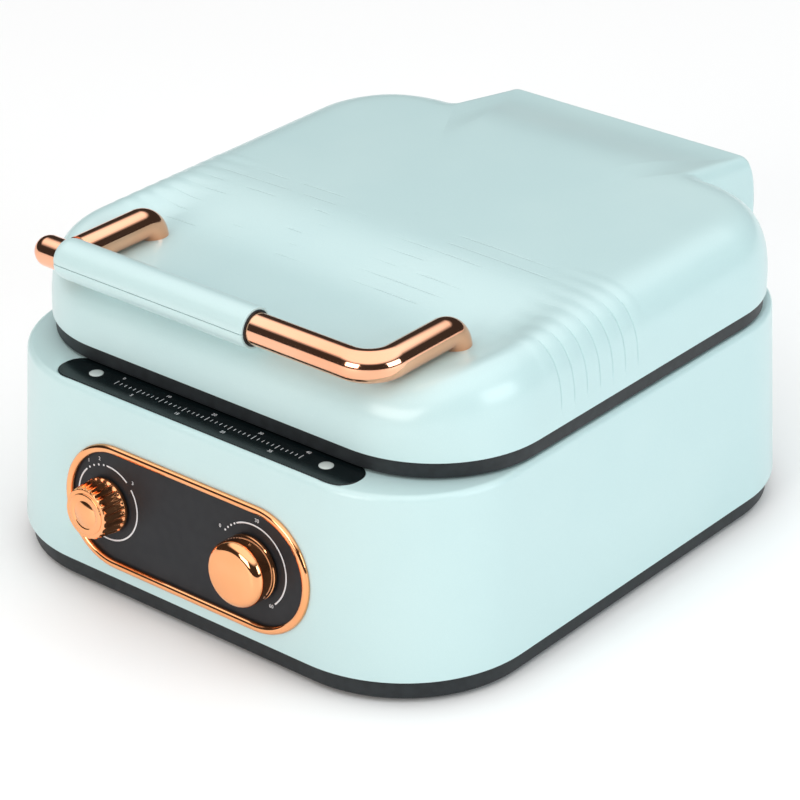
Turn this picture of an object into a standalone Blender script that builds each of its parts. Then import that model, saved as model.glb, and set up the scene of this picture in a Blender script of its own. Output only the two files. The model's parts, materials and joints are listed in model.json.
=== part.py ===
"""Electric baking pan: a deep non-stick pan in a drafted square housing under a hinged pillow lid.

Metres, +Z up, the front faces -Y. Sizes below are the driving dimensions; what seats on
another piece takes its size and place from the same values and a named clearance.
"""
import math

import bmesh
import bpy
from mathutils import Matrix, Vector

# Clearances
GAP = 0.0003
RUN_GAP = 0.0005
OVERRUN = 0.004

# Feet and dark plinth tray
FOOT_DROP = 0.003
FOOT_RADIUS = 0.0115
FOOT_BORE = 0.0048
FOOT_WEB = 0.0012
FOOT_INSET = 0.0175
PLINTH_HEIGHT = 0.0115
PLINTH_INSET = 0.0034
PLINTH_FLOOR = 0.0025
PLINTH_WALL = 0.0022
PLINTH_LIP = 0.0065
VENT_LENGTH = 0.046
VENT_WIDTH = 0.0034
VENT_PITCH = 0.0085
VENT_COUNT = 5
VENT_OFFSET_X = 0.062

# Base housing
BASE_WIDTH = 0.330
BASE_DEPTH = 0.3678
BASE_CORNER = 0.0781
BASE_DRAFT_DEG = 3.15
BASE_WALL = 0.0025
DECK_HEIGHT = 0.120
DECK_EDGE = 0.0034
DECK_THICKNESS = 0.0025
PILLAR_RADIUS = 0.0045
SCREW_BORE = 0.0017
SCREW_SHANK = 0.0014
SCREW_HEAD = 0.0036
SCREW_HEAD_HEIGHT = 0.0022
SCREW_ENGAGE = 0.014

# Lid
LID_SIDE_STEP = 0.00575
LID_FRONT_STEP = 0.0284
LID_REAR_STEP = 0.0154
LID_CORNER_STEP = 0.0101
LID_LIFT = 0.0111
LID_RISE = 0.0464
LID_DOME = 0.0025
LID_FRONT_DROP = 0.0095
LID_DROP_START = 0.014
LID_DROP_RUN = 0.070
LID_DROP_FADE = 0.030
LID_SHOULDER = 0.035
LID_SHOULDER_POWER = 3.0
LID_WALL = 0.0025
LID_RING_SHARES = (0.0, 0.035, 0.11, 0.23, 0.40, 0.66, 1.0)
CROWN_RING_SHARES = (0.72, 0.36)
HUMP_NECK = 0.00125
HUMP_COVER = 0.0220
HUMP_CORNER = 0.006
HUMP_TOP_CORNER = 0.003
HUMP_SHOULDER = 0.010
HUMP_STEP = 0.0080
HUMP_BLEND_SHARE = 0.75

# Black lid frame that carries the upper plate
SKIRT_CLEARANCE = 0.0015
SKIRT_INSET = 0.0016
SKIRT_WALL = 0.003
FRAME_FLOOR = 0.0025
FRAME_LIP = 0.0040

# Pan, upper plate and their heaters
PAN_MARGIN = 0.011
PAN_FLANGE = 0.0015
PAN_FLANGE_WIDTH = 0.008
PAN_SEAT = 0.004
PAN_DEPTH = 0.052
PAN_WALL = 0.0026
PAN_DRAFT_DEG = 7.0
PAN_FILLET = 0.011
PLATE_RIM_WIDTH = 0.007
PLATE_RECESS = 0.0025
PLATE_THICKNESS = 0.0035
PLATE_WALL = 0.0030
PLATE_BACK_RISE = 0.0025
PLATE_OPENING_MARGIN = 0.013
PLATE_SCREW_MARGIN = 0.0065
HEATER_RADIUS = 0.0033
HEATER_BEND = 0.030
HEATER_INSET = 0.052
HEATER_TERMINAL_GAP = 0.036
HEATER_TERMINAL = 0.016
SHIELD_SHEET = 0.0010
SHIELD_RISE = 0.0115
SHIELD_MARGIN = 0.0065
SHIELD_SLOPE = 0.006
CUTOFF_RADIUS = 0.0085
CUTOFF_HEIGHT = 0.0065
CUTOFF_EAR = 0.005

# Control panel in the front wall
PANEL_HEIGHT = 0.0575
PANEL_END = 0.0004
PANEL_HALF_HEIGHT = 0.0362
BEZEL_WIDTH = 0.0046
BEZEL_PROUD = 0.0024
PANEL_THICKNESS = 0.0030
PANEL_SINK = 0.0004
PANEL_FIT = 0.0022
THERMOSTAT_END = 0.0294
TIMER_END = 0.0402
SHAFT_RADIUS = 0.0030
SHAFT_HOLE = 0.0042
SHAFT_TIP = 0.0090
SHAFT_TAIL = 0.0080
KNOB_LIFT = 0.0012
THERMOSTAT_KNOB_RADIUS = 0.0160
THERMOSTAT_KNOB_FRONT = 0.0145
THERMOSTAT_KNOB_LENGTH = 0.0160
THERMOSTAT_KNOB_FLUTES = 18
FLUTE_DEPTH = 0.0011
CAP_RADIUS = 0.0118
CAP_PROUD = 0.0006
TIMER_KNOB_RADIUS = 0.0184
TIMER_KNOB_LENGTH = 0.0170
TIMER_KNOB_ROUND = 0.0056
TIMER_KNOB_CROWN = 0.0012
KNOB_SKIRT = 0.0022
THERMOSTAT_BODY = (0.034, 0.038, 0.020)
TIMER_BODY = (0.044, 0.044, 0.018)
BUSH_RADIUS = 0.0058
BUSH_LENGTH = 0.0060

# Display strip and lamps on the front deck
STRIP_ENDS = 0.1230
STRIP_WIDTH = 0.0238
STRIP_SET_BACK = 0.0096
STRIP_THICKNESS = 0.0013
STRIP_RECESS = 0.0012
STRIP_CORNER = 0.0108
LAMP_END = 0.0225
LAMP_RADIUS = 0.0040
LAMP_STEM = 0.0030
LAMP_STEM_LENGTH = 0.0120
LAMP_HEAD = 0.0014
LAMP_CROWN_SHARE = 0.94
LAMP_SET_BACK = 0.0128

# Handle
TUBE_RADIUS = 0.0088
HANDLE_LIFT = 0.0011
LEG_INSET = 0.05325
LEG_RUN = 0.0670
BAR_SET_BACK = 0.0015
ELBOW_RADIUS = 0.016
FOOT_BEND = 0.0115
BAR_OVERHANG = 0.0215
GRIP_RADIUS = 0.0114
GRIP_OVERHANG = 0.0010
GRIP_BARE = 0.0778
GRIP_DOME = 0.0060
GRIP_ROUND = 0.0017
CLAMP_SIDE = 0.028
CLAMP_THICKNESS = 0.0025
FOOT_DEPTH = 0.0050
HANDLE_SCREW_BORE = 0.0022
HANDLE_SCREW_SHANK = 0.0019
HANDLE_SCREW_ENGAGE = 0.012

# Hinge
PIN_LIFT = 0.0039
PIN_OVERHANG = 0.0091
PIN_RADIUS = 0.0030
PIN_HEAD = 0.0050
PIN_HEAD_LENGTH = 0.0025
KNUCKLE_RADIUS = 0.0075
BRACKET_SIDE = 0.038
BRACKET_WIDTH = 0.012
ARM_WIDTH = 0.010
ARM_THICKNESS = 0.006
BRACKET_PAD = 0.0065
BRACKET_DROP = 0.040
LID_OPEN_DEG = 100.0
STOP_CLEARANCE_DEG = 3.0
CLIP_WIDTH = 0.0012

# Cord gland and terminal block at the rear
GLAND_SIDE = 0.0169
GLAND_HEIGHT = 0.042
GLAND_BORE = 0.0040
GLAND_NECK = 0.0068
GLAND_FLANGE = 0.0100
GLAND_FLANGE_LENGTH = 0.0040
GLAND_NUT = 0.0022
TERMINAL_SIZE = (0.040, 0.018, 0.014)
TERMINAL_BORE = 0.0021
TERMINAL_POLES = 3

# Steps round arcs, and turns in degrees where an arc is drawn coarsely
CORNER_STEPS = 6
PANEL_STEPS = 8
ROUND_STEPS = 24
SMALL_STEPS = 8
TUBE_STEPS = 4
HEATER_STEPS = 2
EDGE_TURNS_DEG = (0.0, 30.0, 60.0, 90.0)
FILLET_TURNS_DEG = (0.0, 45.0, 90.0)
DOME_TURNS_DEG = (20.0, 45.0, 68.0, 86.0)

# Worked out from the sizes above
PLINTH_TOP = FOOT_DROP + PLINTH_HEIGHT
DRAFT = math.tan(math.radians(BASE_DRAFT_DEG))
BASE_FLAT = BASE_WIDTH / 2 - BASE_CORNER
LID_WIDTH = BASE_WIDTH - 2 * LID_SIDE_STEP
LID_FRONT = BASE_DEPTH / 2 - LID_FRONT_STEP
LID_REAR = BASE_DEPTH / 2 - LID_REAR_STEP
LID_DEPTH = LID_FRONT + LID_REAR
LID_CENTRE_Y = (LID_REAR - LID_FRONT) / 2
LID_CORNER = BASE_CORNER - LID_CORNER_STEP
LID_EDGE_HEIGHT = DECK_HEIGHT + LID_LIFT
LID_CREST = LID_EDGE_HEIGHT + LID_RISE
SKIRT_BOTTOM = DECK_HEIGHT + SKIRT_CLEARANCE
PLATE_LOW = DECK_HEIGHT + PAN_FLANGE + 2 * GAP
PLATE_BACK = PLATE_LOW + PLATE_RECESS + PLATE_THICKNESS
PLATE_SEAT = LID_EDGE_HEIGHT - FRAME_FLOOR - 2 * GAP
PIN_Y = BASE_DEPTH / 2 + PIN_OVERHANG
PIN_HEIGHT = LID_EDGE_HEIGHT + PIN_LIFT
HUMP_REAR = PIN_Y + HUMP_COVER
HUMP_REACH = HUMP_REAR - LID_REAR
HUMP_HALF_WIDTH = LID_WIDTH / 2 - LID_CORNER - HUMP_NECK
HUMP_CREST = LID_CREST - HUMP_STEP
BRACKET_CENTRE = HUMP_HALF_WIDTH - BRACKET_SIDE
PANEL_HALF_LENGTH = BASE_FLAT - PANEL_END
THERMOSTAT_X = THERMOSTAT_END - PANEL_HALF_LENGTH
TIMER_X = PANEL_HALF_LENGTH - TIMER_END
STRIP_LENGTH = BASE_WIDTH - STRIP_ENDS
STRIP_FRONT = BASE_DEPTH / 2 - STRIP_SET_BACK
LAMP_SPACING = STRIP_LENGTH / 2 - LAMP_END
GLAND_OFFSET = BASE_FLAT - GLAND_SIDE
HANDLE_HEIGHT = LID_CREST + HANDLE_LIFT
LEG_SPACING = LID_WIDTH / 2 - LEG_INSET
FOOT_BACK = LID_FRONT - LEG_RUN
BAR_FRONT = LID_FRONT - BAR_SET_BACK
BAR_LEFT_END = LEG_SPACING + BAR_OVERHANG
GRIP_LEFT = LEG_SPACING + GRIP_OVERHANG
GRIP_RIGHT = LEG_SPACING - GRIP_BARE
PANEL_FACE_Y = DRAFT * (PANEL_HEIGHT - PLINTH_TOP) - BASE_DEPTH / 2
KNOB_TOP = TIMER_KNOB_LENGTH + KNOB_LIFT - PANEL_SINK - TIMER_KNOB_CROWN / 4
KNOB_REACH = KNOB_TOP + DRAFT * TIMER_KNOB_RADIUS / 2
KNOB_NOSE = KNOB_REACH * math.cos(math.radians(BASE_DRAFT_DEG)) - PANEL_FACE_Y
FRAME_SHIFT = (KNOB_NOSE - HUMP_REAR) / 2

parts = None
cutters = None
frame = None


def clear_scene():
    for thing in list(bpy.data.objects):
        bpy.data.objects.remove(thing, do_unlink=True)


def make_collection(name):
    collection = bpy.data.collections.new(name)
    bpy.context.scene.collection.children.link(collection)
    return collection


def make_material(name, colour, roughness, metallic=0.0):
    material = bpy.data.materials.new(name)
    material.use_nodes = True
    shader = material.node_tree.nodes["Principled BSDF"]
    shader.inputs["Base Color"].default_value = (*colour, 1.0)
    shader.inputs["Roughness"].default_value = roughness
    shader.inputs["Metallic"].default_value = metallic
    material.diffuse_color = (*colour, 1.0)
    return material


def make_empty(name, location, rotation_x=0.0, parent=None):
    empty = bpy.data.objects.new(name, None)
    empty.location = location
    empty.rotation_euler = (rotation_x, 0.0, 0.0)
    empty.parent = parent
    parts.objects.link(empty)
    bpy.context.view_layer.update()
    return empty


def attach(thing, parent):
    """Parent a piece that was drawn in the frame's coordinates to an empty on its joint."""
    thing.parent = parent
    if parent is not frame:
        thing.matrix_parent_inverse = parent.matrix_world.inverted() @ frame.matrix_world
    bpy.context.view_layer.update()


def add_piece(name, bm, material, parent=None, local=False, smooth_angle=35.0):
    bmesh.ops.recalc_face_normals(bm, faces=bm.faces)
    mesh = bpy.data.meshes.new(name)
    bm.to_mesh(mesh)
    bm.free()
    mesh.materials.append(material)
    mesh.shade_smooth()
    mesh.set_sharp_from_angle(angle=math.radians(smooth_angle))
    piece = bpy.data.objects.new(name, mesh)
    parts.objects.link(piece)
    if local:
        piece.parent = parent
        bpy.context.view_layer.update()
    else:
        attach(piece, parent or frame)
    return piece


def add_cutter(name, bm, parent=None, local=False):
    bmesh.ops.recalc_face_normals(bm, faces=bm.faces)
    mesh = bpy.data.meshes.new(name)
    bm.to_mesh(mesh)
    bm.free()
    cutter = bpy.data.objects.new(name, mesh)
    cutter.hide_render = True
    cutter.display_type = 'WIRE'
    cutters.objects.link(cutter)
    if local:
        cutter.parent = parent
        bpy.context.view_layer.update()
    else:
        attach(cutter, parent or frame)
    return cutter


def boolean(piece, other, operation='DIFFERENCE'):
    modifier = piece.modifiers.new(other.name, 'BOOLEAN')
    modifier.operation = operation
    modifier.solver = 'EXACT'
    modifier.object = other


def rounded_outline(half_x, half_y, corner, centre_y=0.0, steps=CORNER_STEPS):
    """Corner points of a rounded rectangle, anticlockwise from above."""
    points = []
    for turn, (side_x, side_y) in enumerate(((1, 1), (-1, 1), (-1, -1), (1, -1))):
        for step in range(steps + 1):
            angle = math.radians(90.0 * (turn + step / steps))
            points.append((side_x * (half_x - corner) + corner * math.cos(angle),
                           centre_y + side_y * (half_y - corner) + corner * math.sin(angle)))
    return points


def inset_ring(half_x, half_y, corner, inset, height, centre_y=0.0, steps=CORNER_STEPS):
    outline = rounded_outline(half_x - inset, half_y - inset, corner - inset, centre_y, steps)
    return [(x, y, height) for x, y in outline]


def base_ring(inset, height):
    """Ring on the drafted base housing, inset from its outer face at that height."""
    lean = DRAFT * (height - PLINTH_TOP)
    return inset_ring(BASE_WIDTH / 2, BASE_DEPTH / 2, BASE_CORNER, inset + lean, height)


def lid_ring(inset, height):
    return inset_ring(LID_WIDTH / 2, LID_DEPTH / 2, LID_CORNER, inset, height, LID_CENTRE_Y)


def loft(rings, closed=False):
    """Skin a row of rings with equal point counts; an open row gets a flat cap at each end."""
    bm = bmesh.new()
    rows = [[bm.verts.new(point) for point in ring] for ring in rings]
    count = len(rows[0])
    pairs = list(zip(rows, rows[1:]))
    if closed:
        pairs.append((rows[-1], rows[0]))
    for lower, upper in pairs:
        for i in range(count):
            j = (i + 1) % count
            bm.faces.new((lower[i], lower[j], upper[j], upper[i]))
    if not closed:
        bm.faces.new(reversed(rows[0]))
        bm.faces.new(rows[-1])
    return bm


def cylinder(radius, start, end, steps=ROUND_STEPS, end_radius=None):
    """Closed cylinder or cone between two points."""
    start = Vector(start)
    run = Vector(end) - start
    bm = bmesh.new()
    top_radius = radius if end_radius is None else end_radius
    bmesh.ops.create_cone(bm, cap_ends=True, segments=steps, radius1=radius,
                          radius2=top_radius, depth=run.length)
    turn = run.to_track_quat('Z', 'Y').to_matrix().to_4x4()
    bmesh.ops.transform(bm, matrix=Matrix.Translation(start + run / 2) @ turn, verts=bm.verts)
    return bm


def box(low, high):
    size = Vector(high) - Vector(low)
    centre = (Vector(high) + Vector(low)) / 2
    bm = bmesh.new()
    bmesh.ops.create_cube(bm, size=1.0)
    bmesh.ops.scale(bm, vec=size, verts=bm.verts)
    bmesh.ops.translate(bm, vec=centre, verts=bm.verts)
    return bm


def add_turned(name, profile, material, parent, steps=ROUND_STEPS, closed=False):
    """Turned piece round its parent's Z axis; the profile runs down its outer side."""
    mesh = bpy.data.meshes.new(name)
    links = [(i, i + 1) for i in range(len(profile) - 1)]
    if closed:
        links.append((len(profile) - 1, 0))
    mesh.from_pydata([(radius, 0.0, height) for radius, height in profile], links, [])
    mesh.materials.append(material)
    piece = bpy.data.objects.new(name, mesh)
    parts.objects.link(piece)
    piece.parent = parent
    screw = piece.modifiers.new("turn", 'SCREW')
    screw.axis = 'Z'
    screw.steps = steps
    screw.render_steps = steps
    screw.use_merge_vertices = True
    screw.merge_threshold = 0.00001
    screw.use_smooth_shade = True
    bpy.context.view_layer.update()
    return piece


def extruded(outline, low, high):
    return loft([[(x, y, low) for x, y in outline], [(x, y, high) for x, y in outline]])


def side_plate(outline, low_x, high_x):
    """Prism along X from an outline in the YZ plane."""
    return loft([[(low_x, y, z) for y, z in outline], [(high_x, y, z) for y, z in outline]])


def arc_points(centre, radius, start_deg, end_deg, steps):
    points = []
    for step in range(steps + 1):
        angle = math.radians(start_deg + (end_deg - start_deg) * step / steps)
        points.append((centre[0] + radius * math.cos(angle), centre[1] + radius * math.sin(angle)))
    return points


def bend_path(corners, bends, steps=6):
    """Path through corner points whose inner corners are rounded to the given bend radii."""
    points = [Vector(corners[0])]
    for before, corner, after, bend in zip(corners, corners[1:], corners[2:], bends):
        corner = Vector(corner)
        back = (Vector(before) - corner).normalized()
        ahead = (Vector(after) - corner).normalized()
        half = back.angle(ahead) / 2
        reach = bend / math.tan(half)
        centre = corner + (back + ahead).normalized() * (bend / math.sin(half))
        start = corner + back * reach - centre
        stop = corner + ahead * reach - centre
        sweep = start.angle(stop)
        for step in range(steps + 1):
            share = step / steps
            mixed = start * math.sin((1 - share) * sweep) + stop * math.sin(share * sweep)
            points.append(centre + mixed / math.sin(sweep))
    points.append(Vector(corners[-1]))
    return points


def tube_mesh(name, path, radius, domes=(), sides=TUBE_STEPS):
    """Round tube along a path as a welded mesh; a dome closes each end that is named."""
    points = [(point, 1.0) for point in path]
    for end in domes:
        tip, inner = (path[-1], path[-2]) if end == "last" else (path[0], path[1])
        ahead = (tip - inner).normalized()
        cap = []
        for turn in DOME_TURNS_DEG:
            angle = math.radians(turn)
            cap.append((tip + ahead * radius * math.sin(angle), math.cos(angle)))
        points = points + cap if end == "last" else list(reversed(cap)) + points
    curve = bpy.data.curves.new(name, 'CURVE')
    curve.dimensions = '3D'
    curve.bevel_depth = radius
    curve.bevel_resolution = sides
    curve.use_fill_caps = True
    spline = curve.splines.new('POLY')
    spline.points.add(len(points) - 1)
    for target, (point, share) in zip(spline.points, points):
        target.co = (*point, 1.0)
        target.radius = share
    thing = bpy.data.objects.new(name, curve)
    bpy.context.scene.collection.objects.link(thing)
    bpy.context.view_layer.update()
    mesh = bpy.data.meshes.new_from_object(thing.evaluated_get(bpy.context.evaluated_depsgraph_get()))
    bm = bmesh.new()
    bm.from_mesh(mesh)
    bmesh.ops.remove_doubles(bm, verts=bm.verts, dist=0.00002)
    bpy.data.objects.remove(thing, do_unlink=True)
    bpy.data.meshes.remove(mesh)
    return bm


def clamp_share(value):
    share = min(max(value, 0.0), 1.0)
    return share * share * (3.0 - 2.0 * share)


def lid_crest(x, y):
    """Height of the lid's top above a plan point before its shoulder rounds it off."""
    dome = LID_DOME * (1.0 - (2 * x / LID_WIDTH) ** 2)
    front = LID_FRONT_DROP * clamp_share((-y - LID_DROP_START) / LID_DROP_RUN)
    front *= 1.0 - clamp_share((abs(x) - LEG_SPACING - TUBE_RADIUS) / LID_DROP_FADE)
    fall = clamp_share((y - LID_REAR + LID_SHOULDER) / (LID_SHOULDER + HUMP_REACH * HUMP_BLEND_SHARE))
    return LID_CREST + dome - front + (HUMP_CREST - LID_CREST - dome) * fall


def lid_outline(share):
    """Plan outline of lid and hinge hump, drawn in by a share of each one's shoulder."""
    lid_in = LID_SHOULDER * share
    hump_in = HUMP_SHOULDER * share
    half = LID_WIDTH / 2
    centre_x = half - LID_CORNER
    front_y = LID_CORNER - LID_FRONT
    rear_y = LID_REAR - LID_CORNER
    corner = LID_CORNER - lid_in
    neck = centre_x - HUMP_HALF_WIDTH + hump_in
    hump_x = HUMP_HALF_WIDTH - hump_in
    hump_corner = HUMP_CORNER + (HUMP_TOP_CORNER - HUMP_CORNER) * share
    hump_y = HUMP_REAR - hump_in
    neck_y = LID_REAR - lid_in + neck
    right = []
    for step in range(1, 4):
        right.append((centre_x * step / 3, front_y - corner))
    right += arc_points((centre_x, front_y), corner, -90, 0, CORNER_STEPS)[1:]
    for step in range(1, 5):
        right.append((half - lid_in, front_y + (rear_y - front_y) * step / 4))
    right += arc_points((centre_x, rear_y), corner, 0, 90, CORNER_STEPS)[1:]
    right += arc_points((centre_x, neck_y), neck, 270, 180, 3)[1:]
    right += arc_points((hump_x - hump_corner, hump_y - hump_corner), hump_corner, 0, 90, 4)
    for step in range(1, 3):
        right.append(((hump_x - hump_corner) * (1 - step / 3), hump_y))
    left = [(-x, y) for x, y in reversed(right)]
    return [(0.0, front_y - corner)] + right + [(0.0, hump_y)] + left


def lid_ring_at(share):
    rise = (1.0 - (1.0 - share) ** LID_SHOULDER_POWER) ** (1.0 / LID_SHOULDER_POWER)
    return [(x, y, LID_EDGE_HEIGHT + (lid_crest(x, y) - LID_EDGE_HEIGHT) * rise)
            for x, y in lid_outline(share)]


def make_lid_shell(material, pivot):
    rings = [lid_ring_at(share) for share in LID_RING_SHARES]
    crown_edge = rings[-1]
    for share in CROWN_RING_SHARES:
        ring = []
        for x, y, _ in crown_edge:
            near_x = x * share
            near_y = LID_CENTRE_Y + (y - LID_CENTRE_Y) * share
            ring.append((near_x, near_y, lid_crest(near_x, near_y)))
        rings.append(ring)
    bm = bmesh.new()
    rows = [[bm.verts.new(point) for point in ring] for ring in rings]
    count = len(rows[0])
    for lower, upper in zip(rows, rows[1:]):
        for i in range(count):
            j = (i + 1) % count
            bm.faces.new((lower[i], lower[j], upper[j], upper[i]))
    crown = bm.verts.new((0.0, LID_CENTRE_Y, lid_crest(0.0, LID_CENTRE_Y)))
    for i in range(count):
        bm.faces.new((rows[-1][i], rows[-1][(i + 1) % count], crown))
    shell = add_piece("lid_shell", bm, material, pivot)
    wall = shell.modifiers.new("wall", 'SOLIDIFY')
    wall.thickness = LID_WALL
    wall.offset = -1.0
    wall.use_even_offset = True
    for side, name in ((1, "right"), (-1, "left")):
        foot_low = (side * LEG_SPACING, -FOOT_BACK, LID_EDGE_HEIGHT + OVERRUN)
        foot_top = (side * LEG_SPACING, -FOOT_BACK, HANDLE_HEIGHT)
        leg_front = (side * LEG_SPACING, -BAR_FRONT, HANDLE_HEIGHT)
        path = bend_path((foot_low, foot_top, leg_front), (FOOT_BEND,))
        hole = tube_mesh("leg_hole", path, TUBE_RADIUS + GAP)
        boolean(shell, add_cutter("leg_hole_" + name, hole, pivot))
    return shell


def make_lid_frame(material, pivot):
    opening = PLATE_OPENING_MARGIN + PAN_MARGIN
    top = LID_EDGE_HEIGHT - GAP
    lip_inset = LID_WALL + 2 * GAP
    rings = [lid_ring(SKIRT_INSET, SKIRT_BOTTOM), lid_ring(SKIRT_INSET, top),
             lid_ring(lip_inset, top), lid_ring(lip_inset, top + FRAME_LIP),
             lid_ring(lip_inset + SKIRT_WALL / 2, top + FRAME_LIP), lid_ring(lip_inset + SKIRT_WALL / 2, top),
             lid_ring(opening, top), lid_ring(opening, top - FRAME_FLOOR),
             lid_ring(SKIRT_INSET + SKIRT_WALL, top - FRAME_FLOOR),
             lid_ring(SKIRT_INSET + SKIRT_WALL, SKIRT_BOTTOM)]
    frame_piece = add_piece("lid_frame", loft(rings, closed=True), material, pivot)
    for index, (x, y) in enumerate(plate_screw_places()):
        hole = cylinder(SCREW_BORE + GAP, (x, y, top - FRAME_FLOOR - OVERRUN), (x, y, top + OVERRUN),
                        SMALL_STEPS)
        boolean(frame_piece, add_cutter("frame_screw_hole_%d" % (index + 1), hole, pivot))
    return frame_piece


def plate_screw_places():
    reach = PAN_MARGIN + PLATE_SCREW_MARGIN
    corner = LID_CORNER - reach
    spread = corner * math.sqrt(0.5)
    x = LID_WIDTH / 2 - reach - corner + spread
    y = LID_DEPTH / 2 - reach - corner + spread
    return [(side_x * x, LID_CENTRE_Y + side_y * y) for side_x in (1, -1) for side_y in (1, -1)]


def make_upper_plate(material, pivot):
    """Die-cast upper plate: a recessed cooking face, a flat rim and a hollow back inside a low wall."""
    back = LID_EDGE_HEIGHT - GAP + PLATE_BACK_RISE
    opening = PAN_MARGIN + PLATE_OPENING_MARGIN + RUN_GAP
    face = PLATE_LOW + PLATE_RECESS
    rings = [lid_ring(PAN_MARGIN + PLATE_RIM_WIDTH + PLATE_RECESS, face),
             lid_ring(PAN_MARGIN + PLATE_RIM_WIDTH, PLATE_LOW), lid_ring(PAN_MARGIN, PLATE_LOW),
             lid_ring(PAN_MARGIN, PLATE_SEAT), lid_ring(opening, PLATE_SEAT), lid_ring(opening, back),
             lid_ring(opening + PLATE_WALL, back), lid_ring(opening + PLATE_WALL, PLATE_BACK)]
    plate = add_piece("upper_plate", loft(rings), material, pivot)
    for index, (x, y) in enumerate(plate_screw_places()):
        hole = cylinder(SCREW_BORE, (x, y, face), (x, y, PLATE_SEAT + OVERRUN), SMALL_STEPS)
        boolean(plate, add_cutter("plate_screw_hole_%d" % (index + 1), hole, pivot))
    return plate


def make_plate_screws(material, pivot):
    top = LID_EDGE_HEIGHT
    tip = (PLATE_LOW + PLATE_RECESS + PLATE_SEAT) / 2
    for index, (x, y) in enumerate(plate_screw_places()):
        pad = make_empty("plate_screw_place_%d" % (index + 1), (x, y - PIN_Y, top - PIN_HEIGHT), 0.0, pivot)
        add_screw("upper_plate_screw_%d" % (index + 1), pad, SCREW_HEAD, SCREW_HEAD_HEIGHT,
                  SCREW_SHANK, top - tip, material)


def add_screw(name, place, head, height, shank, reach, material):
    """Pan-head screw with a dished drive; its head seats on Z = 0 and its shank points down."""
    profile = [(0.0, height / 2), (head / 2, height), (head * 3 / 4, height), (head, height / 2), (head, 0.0),
               (shank, 0.0), (shank, -reach), (0.0, -reach)]
    return add_turned(name, profile, material, place, SMALL_STEPS)


def heater_loop(half_x, half_y, centre_y, height, terminal_y):
    """Tubular element: a rounded loop whose two ends turn out side by side."""
    gap = HEATER_TERMINAL_GAP / 2
    front = centre_y - half_y
    corners = [(gap, terminal_y, height), (gap, front, height), (half_x, front, height),
               (half_x, centre_y + half_y, height), (-half_x, centre_y + half_y, height),
               (-half_x, front, height), (-gap, front, height), (-gap, terminal_y, height)]
    small = HEATER_TERMINAL / 2
    return bend_path(corners, (small, HEATER_BEND, HEATER_BEND, HEATER_BEND, HEATER_BEND, small), 4)


def make_upper_heater_parts(steel, sheet, ceramic, pivot):
    half_x = LID_WIDTH / 2 - HEATER_INSET
    half_y = LID_DEPTH / 2 - HEATER_INSET
    height = PLATE_BACK + GAP + HEATER_RADIUS
    path = heater_loop(half_x, half_y, LID_CENTRE_Y, height, LID_CENTRE_Y - half_y + HEATER_TERMINAL)
    add_piece("upper_heater", tube_mesh("upper_heater", path, HEATER_RADIUS, (), HEATER_STEPS), steel, pivot)
    edge = PAN_MARGIN + PLATE_OPENING_MARGIN + RUN_GAP + SHIELD_MARGIN
    low = PLATE_BACK + GAP
    rise = low + SHIELD_RISE
    rings = [lid_ring(edge + SHIELD_SLOPE + SHIELD_SHEET, rise - SHIELD_SHEET),
             lid_ring(edge + SHIELD_SHEET, low), lid_ring(edge, low),
             lid_ring(edge + SHIELD_SLOPE, rise)]
    add_piece("upper_heat_shield", loft(rings), sheet, pivot)
    add_cutoff("upper_thermal_cutoff", LID_CENTRE_Y, PLATE_BACK + GAP, 1, ceramic, pivot)


def add_cutoff(name, centre_y, seat, direction, material, parent):
    """Disc thermal cut-off: a cup on a two-eared foot, standing on a plate's back."""
    ear = seat + direction * SHIELD_SHEET
    bm = cylinder(CUTOFF_RADIUS, (0, centre_y, seat), (0, centre_y, seat + direction * CUTOFF_HEIGHT))
    piece = add_piece(name, bm, material, parent)
    reach = CUTOFF_RADIUS + CUTOFF_EAR
    ears = box((-reach, centre_y - CUTOFF_EAR, min(seat, ear)), (reach, centre_y + CUTOFF_EAR, max(seat, ear)))
    boolean(piece, add_cutter(name + "_ears", ears, parent), 'UNION')
    return piece


def make_lower_pan(material):
    top = DECK_HEIGHT + GAP + PAN_FLANGE
    wall_in = PAN_MARGIN + PAN_FLANGE_WIDTH
    lean = math.tan(math.radians(PAN_DRAFT_DEG)) * (PAN_DEPTH - PAN_FILLET)
    floor = top - PAN_DEPTH
    rings = []
    for angle in reversed(FILLET_TURNS_DEG):
        turn = math.radians(angle)
        reach = PAN_FILLET + PAN_WALL
        rings.append(lid_ring(wall_in - PAN_WALL + lean + reach * (1 - math.cos(turn)),
                              floor + PAN_FILLET - reach * math.sin(turn)))
    rings.append(lid_ring(wall_in - PAN_WALL, DECK_HEIGHT + GAP))
    rings.append(lid_ring(PAN_MARGIN, DECK_HEIGHT + GAP))
    rings.append(lid_ring(PAN_MARGIN, top))
    rings.append(lid_ring(wall_in - PAN_FLANGE, top))
    rings.append(lid_ring(wall_in, top - PAN_FLANGE))
    for angle in FILLET_TURNS_DEG:
        turn = math.radians(angle)
        rings.append(lid_ring(wall_in + lean + PAN_FILLET * (1 - math.cos(turn)),
                              floor + PAN_FILLET - PAN_FILLET * math.sin(turn)))
    return add_piece("lower_pan", loft(rings), material)


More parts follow.
